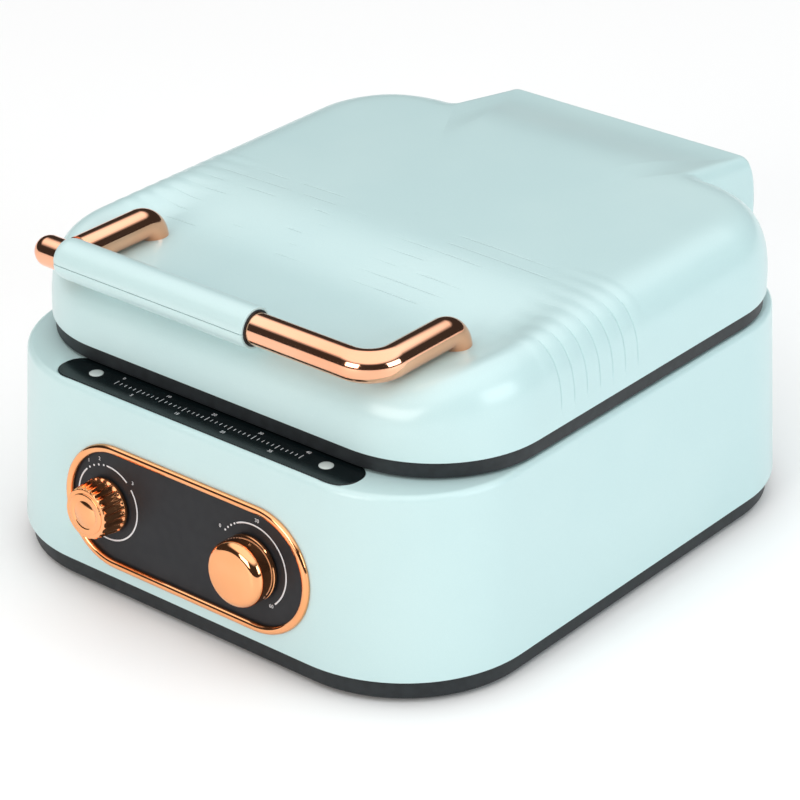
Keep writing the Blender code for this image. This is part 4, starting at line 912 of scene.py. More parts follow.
def crown_ring(share):
    near = [(x * share, LID_Y + (y - LID_Y) * share) for x, y in lid_outline(1.0)]
    return [(x, y, lid_crest(x, y)) for x, y in near]


def lid_mesh():
    rings = [shoulder_ring((step / SHOULDER_RINGS) ** RING_CROWDING) for step in range(SHOULDER_RINGS + 1)]
    rings += [crown_ring(1 - step / CROWN_RINGS) for step in range(1, CROWN_RINGS)]
    bm = bmesh.new()
    rows = skin(bm, rings)
    crown = bm.verts.new((0.0, LID_Y, lid_crest(0.0, LID_Y)))
    for here, there in zip(rows[-1], rows[-1][1:] + rows[-1][:1]):
        bm.faces.new((here, there, crown))
    return bm


print("points in a ring of the lid:", len(lid_outline(0.0)))

# %% [markdown]
# ### Pressing the grooves
# Seven fine grooves, 11 mm apart, run down each shoulder, and the surface between them swells very
# slightly, which draws the soft stripes above them. The tree moves each point along its normal by a depth
# that depends on how far it is from the nearest groove line. Its inputs are the width and depth of a
# groove, the height of a swelling, and where both fade out.

# %% Grooves
LID_WALL = 0.0025
GROOVE_DEPTH = 0.00055
GROOVE_TOP_X = 0.1435
GROOVE_LOW_Z = 0.1395
GROOVE_FADE = 0.0035
RIB_HEIGHT = 0.00022
RIB_INNER_X = 0.108
RIB_LOW_Z = 0.150
RIB_FADE = 0.016
RIB_END = 0.55


def groove_tree():
    tree, nodes, inputs = geometry_tree("grooves", Float="Width, Depth, Inner, Low, Fade, Rib Height, "
                                        "Rib Inner, Rib Low, Rib Fade")
    x, y, z = nodes.split(nodes.add("GeometryNodeInputPosition"))
    away = groove_phase(y)
    line = 1 - away.ramp(0.0, inputs.Width / 2)
    line = line * abs(x).rise(inputs.Inner, inputs.Fade) * z.rise(inputs.Low, inputs.Fade)
    rib = away.ramp(0.0, GROOVE_PITCH / 2) * (1 - away.ramp(GROOVE_PITCH * RIB_END, GROOVE_PITCH))
    rib = rib * abs(x).rise(inputs.Rib_Inner, inputs.Rib_Fade) * z.rise(inputs.Rib_Low, inputs.Rib_Fade)
    depth = rib * inputs.Rib_Height - line * inputs.Depth
    normal = nodes.add("GeometryNodeInputNormal")
    shift = nodes.add("ShaderNodeVectorMath", {"operation": 'SCALE'}, normal, Scale=depth)
    moved = nodes.add("GeometryNodeSetPosition", None, inputs.Geometry, Offset=shift)
    deliver(tree, nodes, moved, mint_paint_lid)
    return tree


def make_lid():
    piece = new_piece("lid_cover", lid_mesh(), mint_paint_lid)
    grow(piece, groove_tree(), Width=GROOVE_WIDTH, Depth=GROOVE_DEPTH, Inner=GROOVE_TOP_X,
         Low=GROOVE_LOW_Z, Fade=GROOVE_FADE, Rib_Height=RIB_HEIGHT, Rib_Inner=RIB_INNER_X,
         Rib_Low=RIB_LOW_Z, Rib_Fade=RIB_FADE)
    wall = piece.modifiers.new("wall", 'SOLIDIFY')
    wall.thickness = LID_WALL
    wall.offset = -1.0
    baked(piece)
    shaded(piece.data, 50.0)
    settle(piece, "lid", "mint_paint", "lid_shell")


make_lid()

# %% [markdown]
# ## The black lid frame, the pan and the upper plate
# A black ring closes the lid from below and shows as a dark band. It carries the upper cooking plate, whose
# face looks down into the pan. All three are lofts of the lid's own outline at different insets, so they
# stay parallel to it all the way round, as in the real pressing.

# %% Frame, pan and plate
SKIRT_WALL = 0.003
FRAME_FLOOR = 0.0025
FRAME_LIP = 0.0040
PLATE_OPENING = 0.013
PAN_FLANGE = 0.0015
PAN_FLANGE_WIDTH = 0.008
PAN_DEPTH = 0.052
PAN_WALL = 0.0026
PAN_FILLET = 0.011
PAN_LEAN = math.tan(math.radians(7.0)) * (PAN_DEPTH - PAN_FILLET)
PLATE_RIM = 0.007
PLATE_RECESS = 0.0025
PLATE_BEVEL = 0.3
PLATE_THICKNESS = 0.0035
PLATE_WALL = 0.003
PLATE_BACK_RISE = 0.0025
SOFT_EDGE = 0.0006


def make_lid_frame():
    low = frame_low.z
    top = EDGE - GAP
    lip = LID_WALL + 2 * GAP
    opening = PLATE_OPENING + PAN_MARGIN
    rings = lid_rings((SKIRT_INSET + SOFT_EDGE, low), (SKIRT_INSET, low + SOFT_EDGE), (SKIRT_INSET, top),
                      (lip, top), (lip, top + FRAME_LIP), (lip + SKIRT_WALL / 2, top + FRAME_LIP),
                      (lip + SKIRT_WALL / 2, top), (opening, top), (opening, top - FRAME_FLOOR),
                      (SKIRT_INSET + SKIRT_WALL, top - FRAME_FLOOR), (SKIRT_INSET + SKIRT_WALL, low))
    piece = new_piece("lid_skirt", loft(rings, closed=True), black_plastic)
    settle(piece, "lid", "black_plastic", "lid_frame")


def fillet_rings(inset, radius, centre_height):
    """Rings down a wall's lower fillet, from upright to flat."""
    sizes = [(inset + radius * (1 - cos), centre_height - radius * sin) for cos, sin in quarter(8)]
    return lid_rings(*sizes)


def make_pan():
    top = DECK + GAP + PAN_FLANGE
    wall_in = PAN_MARGIN + PAN_FLANGE_WIDTH
    centre = top - PAN_DEPTH + PAN_FILLET
    rings = fillet_rings(wall_in - PAN_WALL + PAN_LEAN, PAN_FILLET + PAN_WALL, centre)[::-1]
    rings += lid_rings((wall_in - PAN_WALL, DECK + GAP), (PAN_MARGIN, DECK + GAP),
                       (PAN_MARGIN, top - SOFT_EDGE), (PAN_MARGIN + SOFT_EDGE, top),
                       (wall_in - PAN_FLANGE, top), (wall_in - PAN_FLANGE / 3, top - PAN_FLANGE / 3),
                       (wall_in, top - PAN_FLANGE))
    rings += fillet_rings(wall_in + PAN_LEAN, PAN_FILLET, centre)
    settle(new_piece("deep_pan", loft(rings), nonstick), "base", "nonstick", "lower_pan")


def make_plate():
    low = DECK + PAN_FLANGE + 2 * GAP
    seat = EDGE - FRAME_FLOOR - 2 * GAP
    back = EDGE - GAP + PLATE_BACK_RISE
    face = low + PLATE_RECESS
    opening = PAN_MARGIN + PLATE_OPENING + 2 * GAP
    rim = PAN_MARGIN + PLATE_RIM
    bevel = (rim + PLATE_RECESS / 2, face - PLATE_RECESS * PLATE_BEVEL)
    rings = lid_rings((rim + PLATE_RECESS, face), bevel, (rim, low), (PAN_MARGIN + SOFT_EDGE, low),
                      (PAN_MARGIN, low + SOFT_EDGE), (PAN_MARGIN, seat), (opening, seat), (opening, back),
                      (opening + PLATE_WALL, back), (opening + PLATE_WALL, face + PLATE_THICKNESS))
    settle(new_piece("grill_plate", loft(rings), nonstick), "lid", "nonstick", "upper_plate")


make_lid_frame()
make_pan()
make_plate()

# %% [markdown]
# ## The control panel
# A dark stadium-shaped plate sits in the wall behind a domed rose-gold bezel. The bezel's section is a
# half ellipse carried round the stadium, which is a closed loft with one ring for each step of the section.

# %% Panel and bezel
PANEL_THICKNESS = 0.0030
PANEL_SINK = 0.0004
BEZEL_PROUD = 0.0024
BEZEL_ROUNDNESS = 0.8
BEZEL_STEPS = 14


def make_bezel():
    rings = []
    for x, z in arc((0.0, 0.0), 1.0, 180, 0, BEZEL_STEPS):
        shrink = BEZEL_WIDTH * (1 + x) / 2
        height = PANEL_SINK + GAP + BEZEL_PROUD * z ** BEZEL_ROUNDNESS
        rings.append(raised(stadium(shrink), height))
    piece = new_piece("bezel", loft(rings, closed=True), rose_gold_knob, PANEL)
    settle(piece, "base", "rose_gold", "panel_bezel")
    plate = slab(stadium(BEZEL_WIDTH - PANEL_FIT), -PANEL_THICKNESS, 0.0)
    settle(new_piece("panel_plate", plate, panel_dark, PANEL), "base", "panel_dark", "control_panel")


make_bezel()

# %% [markdown]
# ### Printing on the panel
# The dials' scales are screen-printed: a thin white arc round each knob, dots on one stretch of it and a
# few small numbers. Print is a real layer of ink, so here it is a film a few hundredths of a millimetre
# thick. This tree sweeps a flat ribbon along an arc; the copies tree will set the dots.

# %% Printed arcs
INK = 0.00005
LINE_WIDTH = 0.0009


def ribbon_tree():
    """A flat printed line along an arc, with its own small thickness."""
    tree, nodes, inputs = geometry_tree("printed_arc", Float="Radius, Start, Sweep, Width, Ink",
                                        Material="Finish")
    line = nodes.add("GeometryNodeCurveArc", {"mode": 'RADIUS'}, Resolution=120, Radius=inputs.Radius,
                     Start_Angle=inputs.Start, Sweep_Angle=inputs.Sweep)
    section = nodes.add("GeometryNodeCurvePrimitiveQuadrilateral", None, Width=inputs.Width,
                        Height=inputs.Ink)
    ribbon = nodes.add("GeometryNodeCurveToMesh", None, line, section, Fill_Caps=True)
    deliver(tree, nodes, ribbon, inputs.Finish)
    return tree


RIBBON = ribbon_tree()

# %% [markdown]
# ### Scales of the dials
# A dial is the knob's middle and the radius of its circle, and a mark is an angle on it. Numbers are text
# turned into a mesh, because a font object would not travel with the model.

# %% Panel print
DOT_RADIUS = 0.0006
THERMOSTAT_DIAL = (THERMOSTAT_X, 0.0006, 0.0216)
TIMER_DIAL = (TIMER_X, 0.0004, 0.0235)
THERMOSTAT_DOTS = (98.0, 108.0, 118.0, 128.0)
TIMER_DOTS = (122.0, 129.0, 136.0, 143.0)
NUMBER_SIZE = 0.0030


def transformed(piece, matrix):
    piece.data.transform(matrix)
    return piece


def dial_place(dial, angle, outset=0.0):
    """A place on a dial's circle, or outside it by the outset, in the panel's axes."""
    x, y, radius = dial
    turn = math.radians(angle)
    return (x + (radius + outset) * math.cos(turn), y + (radius + outset) * math.sin(turn), INK / 2)


def printed_arc(name, dial, start, end):
    x, y, radius = dial
    piece = grow(points_piece(name, [(0.0, 0.0, 0.0)]), RIBBON, Radius=radius, Start=math.radians(start),
                 Sweep=math.radians(end - start), Width=LINE_WIDTH, Ink=INK * 2, Finish=print_white)
    transformed(piece, PANEL @ Matrix.Translation((x, y, INK / 2)))
    settle(piece, "base", "lens")


def printed_dots(name, dial, angles):
    places = [dial_place(dial, angle) for angle in angles]
    dot = turned([(0.0, INK), (DOT_RADIUS, INK), (DOT_RADIUS, -INK), (0.0, -INK)], steps=20)
    piece = scatter(name, dot, places, print_white)
    settle(transformed(piece, PANEL), "base", "lens")


def printed_number(name, text, place):
    """A number as a thin solid, centred on its place."""
    curve = bpy.data.curves.new(name, 'FONT')
    curve.body = text
    curve.size = NUMBER_SIZE
    curve.align_x = 'CENTER'
    curve.align_y = 'CENTER'
    curve.extrude = INK
    curve.resolution_u = 3
    letters = linked(name, curve)
    bpy.context.view_layer.update()
    mesh = bpy.data.meshes.new_from_object(letters.evaluated_get(bpy.context.evaluated_depsgraph_get()))
    bpy.data.objects.remove(letters, do_unlink=True)
    mesh.transform(place)
    mesh.materials.clear()
    mesh.materials.append(print_white)
    settle(linked(name, mesh), "base", "lens")


def dial_numbers(name, dial, marks):
    for text, angle, outset in marks:
        place = PANEL @ Matrix.Translation(dial_place(dial, angle, outset))
        printed_number(name + "_number_" + text, text, place)


printed_arc("thermostat_scale", THERMOSTAT_DIAL, -225.0, 38.0)
printed_arc("thermostat_scale_top", THERMOSTAT_DIAL, 50.0, 92.0)
printed_dots("thermostat_dots", THERMOSTAT_DIAL, THERMOSTAT_DOTS)
dial_numbers("thermostat", THERMOSTAT_DIAL,
             (("1", 124.0, 0.0034), ("2", 104.0, 0.0034), ("3", 44.0, 0.0038)))
printed_arc("timer_scale", TIMER_DIAL, -46.0, 118.0)
printed_dots("timer_dots", TIMER_DIAL, TIMER_DOTS)
dial_numbers("timer", TIMER_DIAL, (("0", 146.0, 0.0036), ("30", 84.0, 0.0034), ("60", -54.0, 0.0)))

# %% [markdown]
# ## The knobs
# Both knobs are turned shapes. The thermostat's is a fluted grip with a flat cap, which has a shallow ring
# pressed into it. A flute is a wave in the radius, so a tree takes the smooth turned shape and pushes its
# side inwards by a cosine of the angle, with the wave fading out at the two rims.

# %% Fluted knob
KNOB_LIFT = 0.0012
KNOB_EDGE = 0.0004
NOT_ZERO = 0.0001
FLUTES = 22.0
FLUTE_DEPTH = 0.0012
FLUTED_RADIUS = 0.0160
FLUTED_FRONT = 0.0145
FLUTED_LENGTH = 0.0160
FLUTED_SKIRT = 0.0022
FLUTED_EDGE = 0.0011
FLUTED_FOOT = 0.0006
FLUTED_ROWS = 26
FLUTED_STEPS = 352
FLUTE_FADE = 0.0008
CAP_RADIUS = 0.0118
CAP_PROUD = 0.00055
CAP_ROWS = ((0.0, 1.0), (0.62, 1.0), (0.64, 0.6), (0.69, 0.6), (0.71, 1.0))


def flute_tree():
    tree, nodes, inputs = geometry_tree("flutes", Float="Count, Depth, Inner, Low, High, Fade")
    x, y, z = nodes.split(nodes.add("GeometryNodeInputPosition"))
    angle = y.math('ARCTAN2', x)
    radius = (x * x + y * y).math('SQRT')
    wave = (1 - (angle * inputs.Count).math('COSINE')) / 2
    side = radius.rise(inputs.Inner, inputs.Fade)
    middle = z.rise(inputs.Low, inputs.Fade) * (1 - z.ramp(inputs.High - inputs.Fade, inputs.High))
    share = 1 - wave * side * middle * inputs.Depth / (radius + NOT_ZERO)
    place = nodes.add("ShaderNodeCombineXYZ", None, x * share, y * share, z)
    moved = nodes.add("GeometryNodeSetPosition", None, inputs.Geometry, Position=place)
    deliver(tree, nodes, moved, rose_gold_knob)
    return tree


def knob_place(joint):
    turn = PANEL.to_3x3().to_4x4()
    return Matrix.Translation(joints[joint]["pos_m"]) @ turn


def make_thermostat_knob():
    low = KNOB_LIFT
    high = low + FLUTED_LENGTH
    lean = (FLUTED_RADIUS - FLUTED_FRONT) / FLUTED_LENGTH
    profile = [(CAP_RADIUS * share, high + CAP_PROUD * rise) for share, rise in CAP_ROWS]
    profile += [(CAP_RADIUS - CAP_PROUD / 2, high + CAP_PROUD), (CAP_RADIUS, high + CAP_PROUD / 2),
                (CAP_RADIUS, high)]
    profile += arc((FLUTED_FRONT - FLUTED_EDGE, high - FLUTED_EDGE), FLUTED_EDGE, 90, 0, 6)
    for step in range(1, FLUTED_ROWS + 1):
        fall = (FLUTED_LENGTH - FLUTED_EDGE - FLUTED_FOOT) * step / FLUTED_ROWS
        height = high - FLUTED_EDGE - fall
        profile.append((FLUTED_FRONT + lean * (high - height), height))
    profile += [(FLUTED_RADIUS - KNOB_EDGE, low), (0.0, low)]
    piece = new_piece("thermostat_grip", turned(profile, steps=FLUTED_STEPS), rose_gold_knob)
    grow(piece, flute_tree(), Count=FLUTES, Depth=FLUTE_DEPTH, Inner=CAP_RADIUS + FLUTE_FADE,
         Low=low + FLUTED_SKIRT, High=high, Fade=FLUTE_FADE)
    shaded(piece.data, 60.0)
    transformed(piece, knob_place("thermostat_turn"))
    settle(piece, "thermostat_dial", "rose_gold", "thermostat_knob")


make_thermostat_knob()

# %% [markdown]
# ### The round knob
# The timer's knob is a plain pillow: a slightly crowned face, a wide round edge and, near the panel, a fine
# turned line that parts the skirt from the grip.

# %% Round knob
ROUND_RADIUS = 0.0184
ROUND_LENGTH = 0.0170
ROUND_EDGE = 0.0056
ROUND_CROWN = 0.0012
ROUND_SKIRT = 0.0022
LINE_ROWS = ((1.3, 0.0), (1.15, KNOB_EDGE), (0.95, KNOB_EDGE), (0.8, 0.0))


def make_timer_knob():
    low = KNOB_LIFT
    top = low + ROUND_LENGTH
    shoulder = top - ROUND_CROWN
    inner = ROUND_RADIUS - ROUND_EDGE
    profile = [(inner * step / 8, top - ROUND_CROWN * (step / 8) ** 2) for step in range(8)]
    profile += arc((inner, shoulder - ROUND_EDGE), ROUND_EDGE, 90, 0, 12)
    profile += [(ROUND_RADIUS - sink, low + ROUND_SKIRT * share) for share, sink in LINE_ROWS]
    profile += [(ROUND_RADIUS, low + KNOB_EDGE), (ROUND_RADIUS - KNOB_EDGE, low), (0.0, low)]
    knob = turned(profile, steps=128)
    piece = new_piece("timer_grip", knob, rose_gold_knob, knob_place("timer_turn"), smooth=40.0)
    settle(piece, "timer_dial", "rose_gold", "timer_knob")


make_timer_knob()

# %% [markdown]
# ## The scale strip and its lamps
# A glossy black insert lies in the deck behind the front edge, with a lamp at each end and a printed scale
# between them: a row of ticks, every fifth one longer, and plain numbers above and below. The ticks are a
# line of points with a small bar on each, which is the copies tree again, once for each length.

# %% Strip
TICK_COUNT = 41
TICK_PITCH = 0.00325
TICK_WIDTH = 0.00035
TICK_SHORT = 0.0022
TICK_LONG = 0.0040
TICK_GROUP = 5
NUMBER_SHIFT = 0.0057
LAMP_RADIUS = 0.0040
LAMP_DOME = 0.0006
LAMP_SEAT = 0.0004
STRIP_EDGE = 0.0003


def make_strip():
    rings = []
    for inset, height in ((0.0, strip_low.z), (0.0, strip_high.z - STRIP_EDGE), (STRIP_EDGE, strip_high.z)):
        rings.append(raised(strip_outline(-inset), height))
    settle(new_piece("scale_strip", loft(rings), glossy_black), "base", "glossy_black", "display_strip")


def make_ticks():
    top = strip_high.z + INK / 2
    middle = (TICK_COUNT - 1) / 2
    places = [((index - middle) * TICK_PITCH, STRIP_Y, top) for index in range(TICK_COUNT)]
    long_places = places[::TICK_GROUP]
    short_places = [place for place in places if place not in long_places]
    for name, length, group in (("ticks_long", TICK_LONG, long_places),
                                ("ticks_short", TICK_SHORT, short_places)):
        settle(scatter(name, block(TICK_WIDTH, length, -INK, INK), group, print_white), "base", "lens")
    for index, (x, y, z) in enumerate(long_places):
        row, shift = ("front", -NUMBER_SHIFT) if index % 2 else ("back", NUMBER_SHIFT)
        number = index * TICK_GROUP
        place = Matrix.Translation((x, y + shift, z))
        printed_number("scale_%s_%d" % (row, number), str(number), place)


def make_lamps():
    for side in ("left", "right"):
        node = "lamp_lens_" + side
        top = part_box(node)[1].z
        seat = strip_high.z - LAMP_SEAT
        dome = [(LAMP_RADIUS * sin, top - LAMP_DOME * (1 - cos)) for cos, sin in quarter(10)[:-1]]
        lamp = turned(dome + [(LAMP_RADIUS, seat), (0.0, seat)], steps=48)
        piece = new_piece("lamp_" + side, lamp, lamp_lens, Matrix.Translation(under([node], 0.0)[0]))
        settle(piece, "base", "lens", node)


make_strip()
make_ticks()
make_lamps()

# %% [markdown]
# ## The handle
# The crossbar starts in the lid at the right, rises, bends forward, turns the elbow and runs through the
# grip; its left end is a dome. The left leg is a second tube that enters the grip. Both are swept along a
# centre line that has a true arc at each bend, as a bent tube has.


# %% Centre lines
def bend(corners, radii, steps=16):
    """A path through corner points with a true arc of the given radius at each inner corner."""
    points = [Vector(corners[0])]
    for before, corner, after, radius in zip(corners, corners[1:], corners[2:], radii):
        corner = Vector(corner)
        back = (Vector(before) - corner).normalized()
        ahead = (Vector(after) - corner).normalized()
        half = back.angle(ahead) / 2
        centre = corner + (back + ahead).normalized() * (radius / math.sin(half))
        start = corner + back * (radius / math.tan(half)) - centre
        stop = corner + ahead * (radius / math.tan(half)) - centre
        sweep = start.angle(stop)
        for step in range(steps + 1):
            share = step / steps
            points.append(centre + (start * math.sin((1 - share) * sweep) + stop * math.sin(share * sweep))
                          / math.sin(sweep))
    points.append(Vector(corners[-1]))
    return points


print("points in one bend:", len(bend([(0, 0, 0), (0, 0, 1), (0, 1, 1)], [0.5])) - 2)

# %% [markdown]
# ### Sweeping the tubes
# A tree turns the line into a curve, gives it its radius point by point (which also closes the dome) and
# sweeps a circle along it. Points that fall together at the tip are merged afterwards.

# %% Tube sweep
TUBE_SIDES = 48
DOME_STEPS = 11
DOME_TURN = 90.0 * DOME_STEPS / 11.2  # just short of the tip, so that the last ring keeps a size


def tube_tree():
    """Sweeps a round tube along a line of edges; each point's own share scales the radius."""
    tree, nodes, inputs = geometry_tree("tube", Float="Radius", Int="Sides", Material="Finish")
    line = nodes.add("GeometryNodeMeshToCurve", None, inputs.Geometry)
    share = nodes.add("GeometryNodeInputNamedAttribute", {"data_type": 'FLOAT'}, "share")
    line = nodes.add("GeometryNodeSetCurveRadius", None, line, Radius=share)
    section = nodes.add("GeometryNodeCurvePrimitiveCircle", None, Resolution=inputs.Sides,
                        Radius=inputs.Radius)
    tube = nodes.add("GeometryNodeCurveToMesh", None, line, section, Scale=share, Fill_Caps=True)
    deliver(tree, nodes, tube, inputs.Finish)
    return tree


TUBE = tube_tree()


def swept(name, path, dome):
    points = [(point, 1.0) for point in path]
    if dome:
        ahead = (path[-1] - path[-2]).normalized()
        for cos, sin in arc((0.0, 0.0), 1.0, 0.0, DOME_TURN, DOME_STEPS)[1:]:
            points.append((path[-1] + ahead * TUBE_RADIUS * sin, cos))
    mesh = bpy.data.meshes.new(name)
    edges = [(index, index + 1) for index in range(len(points) - 1)]
    mesh.from_pydata([tuple(point) for point, _ in points], edges, [])
    attribute = mesh.attributes.new("share", 'FLOAT', 'POINT')
    for index, (_, share) in enumerate(points):
        attribute.data[index].value = share
    piece = linked(name, mesh)
    grow(piece, TUBE, Radius=TUBE_RADIUS, Sides=TUBE_SIDES, Finish=rose_gold)
    bm = bmesh.new()
    bm.from_mesh(piece.data)
    bmesh.ops.remove_doubles(bm, verts=bm.verts, dist=SAME_POINT)
    bmesh.ops.recalc_face_normals(bm, faces=bm.faces)
    bm.to_mesh(piece.data)
    bm.free()
    shaded(piece.data, 50.0)
    return piece


# %% [markdown]
# ### Crossbar and left leg
# The corners of both lines follow from the coarse bar's box: its outermost sides less the tube's radius.

# %% Handle
ELBOW_RADIUS = 0.016
FOOT_BEND = 0.0115
BAR_Y = bar_low.y + TUBE_RADIUS
FOOT_Y = bar_high.y - TUBE_RADIUS
BAR_Z = bar_high.z - TUBE_RADIUS


def make_handle():
    path = bend([(LEG_X, FOOT_Y, bar_low.z), (LEG_X, FOOT_Y, BAR_Z), (LEG_X, BAR_Y, BAR_Z),
                 (bar_low.x + TUBE_RADIUS, BAR_Y, BAR_Z)], (FOOT_BEND, ELBOW_RADIUS))
    settle(swept("crossbar", path, True), "lid", "rose_gold", "handle_bar")
    path = bend([(-LEG_X, FOOT_Y, bar_low.z), (-LEG_X, FOOT_Y, BAR_Z),
                 (-LEG_X, BAR_Y + TUBE_RADIUS, BAR_Z)], (FOOT_BEND,))
    settle(swept("left_leg", path, False), "lid", "rose_gold", "handle_left_leg")


make_handle()

# %% [markdown]
# ### The grip
# The grip is two half shells that meet in a fine horizontal seam. Its left end is rounded and closes on the
# tube; its right end is flat, with a thin black ring round the tube that is painted shade for the dark gap
# there. Each half is the same closed loft of half rings, with a soft edge along the seam, mirrored by the
# sign of its side.

# %% Grip
GRIP_RADIUS = 0.0114
GRIP_DOME = 0.0060
GRIP_ROUND = 0.0017
GRIP_SEAM = 0.00022
GRIP_EDGE = 0.0005
SEAM_EDGE = 0.00025
GRIP_STEPS = 28
# The ring at the grip's right end is black to paint the shade of the gap there.
SHADE_RING_WIDTH = 0.0005
SHADE_RING_HEIGHT = 0.0011
SHADE_RING_STEPS = 64

grip_low, grip_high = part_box("grip_upper")


def grip_half(name, side, node):
    left = grip_low.x
    right = grip_high.x
    bore = TUBE_RADIUS + GAP
    ends = [(left + GRIP_DOME * (1 - cos), GRIP_RADIUS - GRIP_ROUND * (1 - sin)) for cos, sin in quarter(8)]
    ends += [(right - GRIP_EDGE, GRIP_RADIUS), (right, GRIP_RADIUS - GRIP_EDGE), (right, bore), (left, bore)]
    rings = []
    for x, radius in ends:
        half_ring = []
        low = math.asin(GRIP_SEAM / radius)
        for step in range(GRIP_STEPS + 1):
            angle = low + (math.pi - 2 * low) * step / GRIP_STEPS
            at_seam = radius > bore and step in (0, GRIP_STEPS)
            reach = radius - SEAM_EDGE if at_seam else radius
            half_ring.append((x, BAR_Y + reach * math.cos(angle), BAR_Z + side * reach * math.sin(angle)))
        rings.append(half_ring)
    bm = bmesh.new()
    rows = skin(bm, rings, closed=True, wrap=False)
    bm.faces.new([row[0] for row in rows])
    bm.faces.new([row[-1] for row in rows])
    settle(new_piece(name, bm, mint_paint), "lid", "mint_paint", node)


# Painted shade: a thin black ring round the tube at the grip's right end darkens the gap there.
def make_collar():
    inner = TUBE_RADIUS + GAP / 3
    outer = TUBE_RADIUS + SHADE_RING_HEIGHT
    profile = [(inner, SHADE_RING_WIDTH), (outer - SHADE_RING_WIDTH / 2, SHADE_RING_WIDTH), (outer, SHADE_RING_WIDTH / 2),
               (outer, 0.0), (inner, 0.0)]
    rings = [[(height, y, z) for y, z, height in circle(radius, height, SHADE_RING_STEPS)]
             for radius, height in profile]
    place = Matrix.Translation((grip_high.x, BAR_Y, BAR_Z))
    settle(new_piece("grip_collar", loft(rings, closed=True), black_plastic, place), "lid", "black_plastic")


grip_half("grip_top", 1, "grip_upper")
grip_half("grip_bottom", -1, "grip_lower")
make_collar()

# %% [markdown]
# ## Screws
# A pan-head screw has a domed head with a cross recess. One head is modelled, and the copies tree puts it
# under the four feet and on the upper plate. The cross is cut once, into the pattern, before it is copied.

# %% Screws
SCREW_HEAD = 0.0036
SCREW_HEAD_HEIGHT = 0.0022
SCREW_DOME = 0.65
SCREW_SHANK = 0.0014
CROSS_LENGTH = 0.0038
CROSS_WIDTH = 0.0007


def screw_mesh(reach):
    dome = [(SCREW_HEAD * sin, SCREW_HEAD_HEIGHT * (1 - SCREW_DOME * (1 - cos))) for cos, sin in quarter(9)]
    profile = dome + [(SCREW_HEAD, 0.0), (SCREW_SHANK, 0.0), (SCREW_SHANK, -reach), (0.0, -reach)]
    head = new_piece("screw_pattern", turned(profile, steps=32), steel)
    tools = []
    for size_x, size_y in ((CROSS_LENGTH, CROSS_WIDTH), (CROSS_WIDTH, CROSS_LENGTH)):
        tool = block(size_x, size_y, SCREW_HEAD_HEIGHT / 2, SCREW_HEAD_HEIGHT * 2)
        tools.append(new_piece("cross", tool, steel))
    cut(head, *tools)
    bm = bmesh.new()
    bm.from_mesh(head.data)
    bpy.data.objects.remove(head, do_unlink=True)
    return bm


def make_base_screws():
    nodes = ["base_screw_" + corner for corner in CORNERS]
    low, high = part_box(nodes[0])
    seat = low.z + SCREW_HEAD_HEIGHT
    screw = screw_mesh(high.z - seat)
    piece = scatter("foot_screws", screw, under(nodes, seat), steel, [(math.pi, 0.0, 0.0)] * len(nodes))
    settle(piece, "base", "steel", *nodes)


def make_plate_screws():
    nodes = ["upper_plate_screw_%d" % index for index in (1, 2, 3, 4)]
    low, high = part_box(nodes[0])
    seat = high.z - SCREW_HEAD_HEIGHT
    piece = scatter("plate_screws", screw_mesh(seat - low.z), under(nodes, seat), steel)
    settle(piece, "lid", "steel", *nodes)


make_base_screws()
make_plate_screws()

# %% [markdown]
# ## Pieces that keep their own shape
# The hinge, the gland and what lies inside the housing are right as they are, apart from their razor edges.
# A copy of each visible one is merged, bevelled by a fraction of a millimetre and put in its place, because
# a real edge always catches a thin line of light.

# %% Softened copies
BRACKET_EDGE = 0.0006
ARM_EDGE = 0.0004
GLAND_EDGE = 0.0003


def softened(node, width, body, slot, material):
    mesh = frame["nodes"][node].data.copy()
    bm = bmesh.new()
    bm.from_mesh(mesh)
    bmesh.ops.remove_doubles(bm, verts=bm.verts, dist=SAME_POINT)
    bmesh.ops.dissolve_limit(bm, angle_limit=math.radians(1.0), verts=bm.verts, edges=bm.edges)
    bpy.data.meshes.remove(mesh)
    piece = new_piece(node + "_soft", bm, material)
    edge = piece.modifiers.new("edge", 'BEVEL')
    edge.width = width
    edge.segments = 2
    edge.limit_method = 'ANGLE'
    edge.angle_limit = math.radians(40.0)
    baked(piece)
    shaded(piece.data, 40.0)
    settle(piece, body, slot, node)


for side in ("left", "right"):
    softened("hinge_bracket_" + side, BRACKET_EDGE, "base", "black_plastic", black_plastic)
    softened("hinge_arm_" + side, ARM_EDGE, "lid", "steel", steel)
softened("cord_gland", GLAND_EDGE, "base", "black_plastic", black_plastic)

# %% [markdown]
# ### Plain finishes
# The shafts, heaters, shields and housings that nothing opens to view keep their coarse faces. They only
# get the finish of their material, so a look inside still shows steel as steel.

# %% Plain finishes
PLAIN = {
    "hinge_pin": steel, "hinge_pin_clip": steel, "lower_heater": steel, "upper_heater": steel,
    "thermostat_shaft": steel, "timer_shaft": steel, "handle_screw_left": steel, "handle_screw_right": steel,
    "lower_heat_shield": sheet_metal, "upper_heat_shield": sheet_metal, "handle_clamp_left": sheet_metal,
    "handle_clamp_right": sheet_metal, "lower_thermal_cutoff": ceramic, "upper_thermal_cutoff": ceramic,
    "terminal_block": ceramic, "thermostat_body": housing_grey, "timer_body": housing_grey,
}
for node, material in PLAIN.items():
    data = frame["nodes"][node].data
    data.materials.clear()
    data.materials.append(material)
print("plain pieces:", len(PLAIN))

# %% [markdown]
# ## Floor and light
# The pan stands on a white sweep in a bright studio. The white sky stands for a large soft box overhead,
# and two soft lights, a warm one in front and a cool one at the right, lift the walls. Metal shows what
# surrounds it, so the surroundings need contrast: the sky turns nearly black towards the horizon, which
# puts the dark lines into the rose gold. The plain view transform keeps the white as white as in the photo.

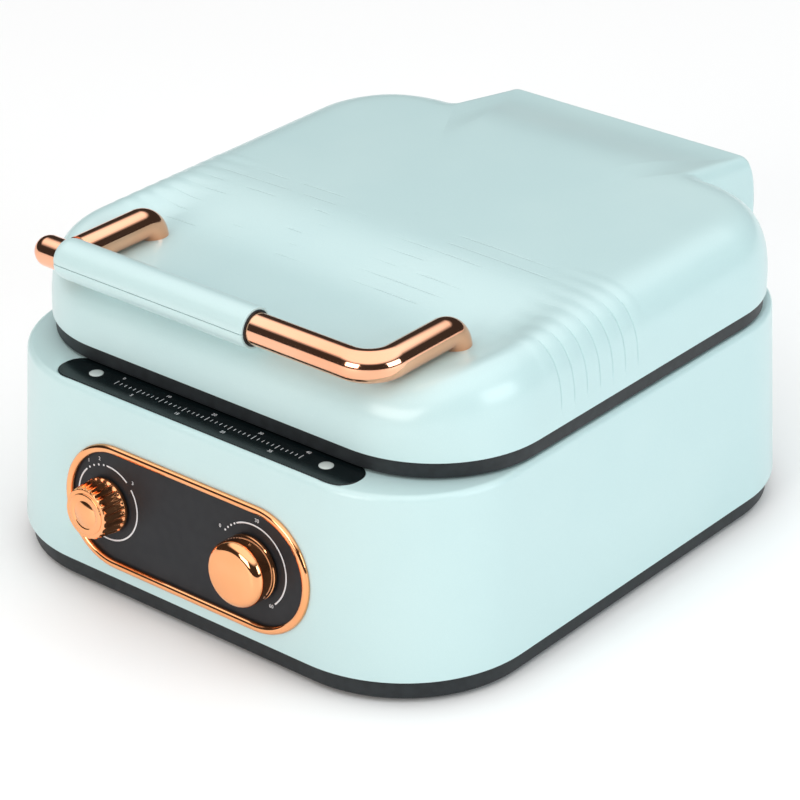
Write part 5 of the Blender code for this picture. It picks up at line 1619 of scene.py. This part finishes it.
# %% Floor and light
FLOOR_COLOUR = (0.95, 0.95, 0.95)
FLOOR_REACH = 40.0
SKY_TOP = (1.0, 1.0, 1.0, 1.0)
SKY_LOW = (0.03, 0.03, 0.03, 1.0)
SKY_STRENGTH = 1.55
SKY_FADE = (0.52, 0.74)


def make_floor():
    bm = bmesh.new()
    bmesh.ops.create_grid(bm, x_segments=2, y_segments=2, size=FLOOR_REACH)
    finish = Finish("floor", Roughness=0.6)
    finish.tint(finish.noise(3.0, 2.0), FLOOR_COLOUR, tuple(channel * 0.99 for channel in FLOOR_COLOUR))
    new_piece("floor", bm, finish.material)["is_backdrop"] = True


def area_light(name, place, size, power, colour):
    """A soft light at a place, turned to the middle of the pan's foot."""
    data = bpy.data.lights.new(name, 'AREA')
    data.shape = 'RECTANGLE'
    data.size, data.size_y = size
    data.energy = power
    data.color = colour
    light = linked(name, data)
    light.location = place
    light.rotation_euler = Vector(place).to_track_quat('Z', 'Y').to_euler()


def make_sky():
    world = bpy.data.worlds.new("studio")
    bpy.context.scene.world = world
    world.use_nodes = True
    nodes = Nodes(world.node_tree)
    across, along, up = nodes.split(nodes.add("ShaderNodeTexCoord", out="Generated"))
    sky = nodes.mixed(up.ramp(*SKY_FADE), SKY_LOW, SKY_TOP)
    background = world.node_tree.nodes["Background"]
    nodes.feed(background.inputs["Color"], sky)
    background.inputs["Strength"].default_value = SKY_STRENGTH


make_floor()
make_sky()
area_light("key_front", (0.05, -2.4, 1.0), size=(1.3, 1.0), power=24.0, colour=(1.0, 0.95, 0.91))
area_light("fill_right", (2.3, 0.3, 0.9), size=(1.4, 1.0), power=20.5, colour=(0.90, 1.0, 1.03))
bpy.context.scene.view_settings.view_transform = 'Standard'
print("lights:", [light.name for light in bpy.data.lights], "sky", SKY_STRENGTH)

# %% [markdown]
# ## Measure and finish
# The last lines print the box that the dressed pan fills, one line for each axis.

# %% Measure and finish
for axis, low, high in zip("xyz", *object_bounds()):
    print("visual %s from %.6f to %.6f m" % (axis, low, high))
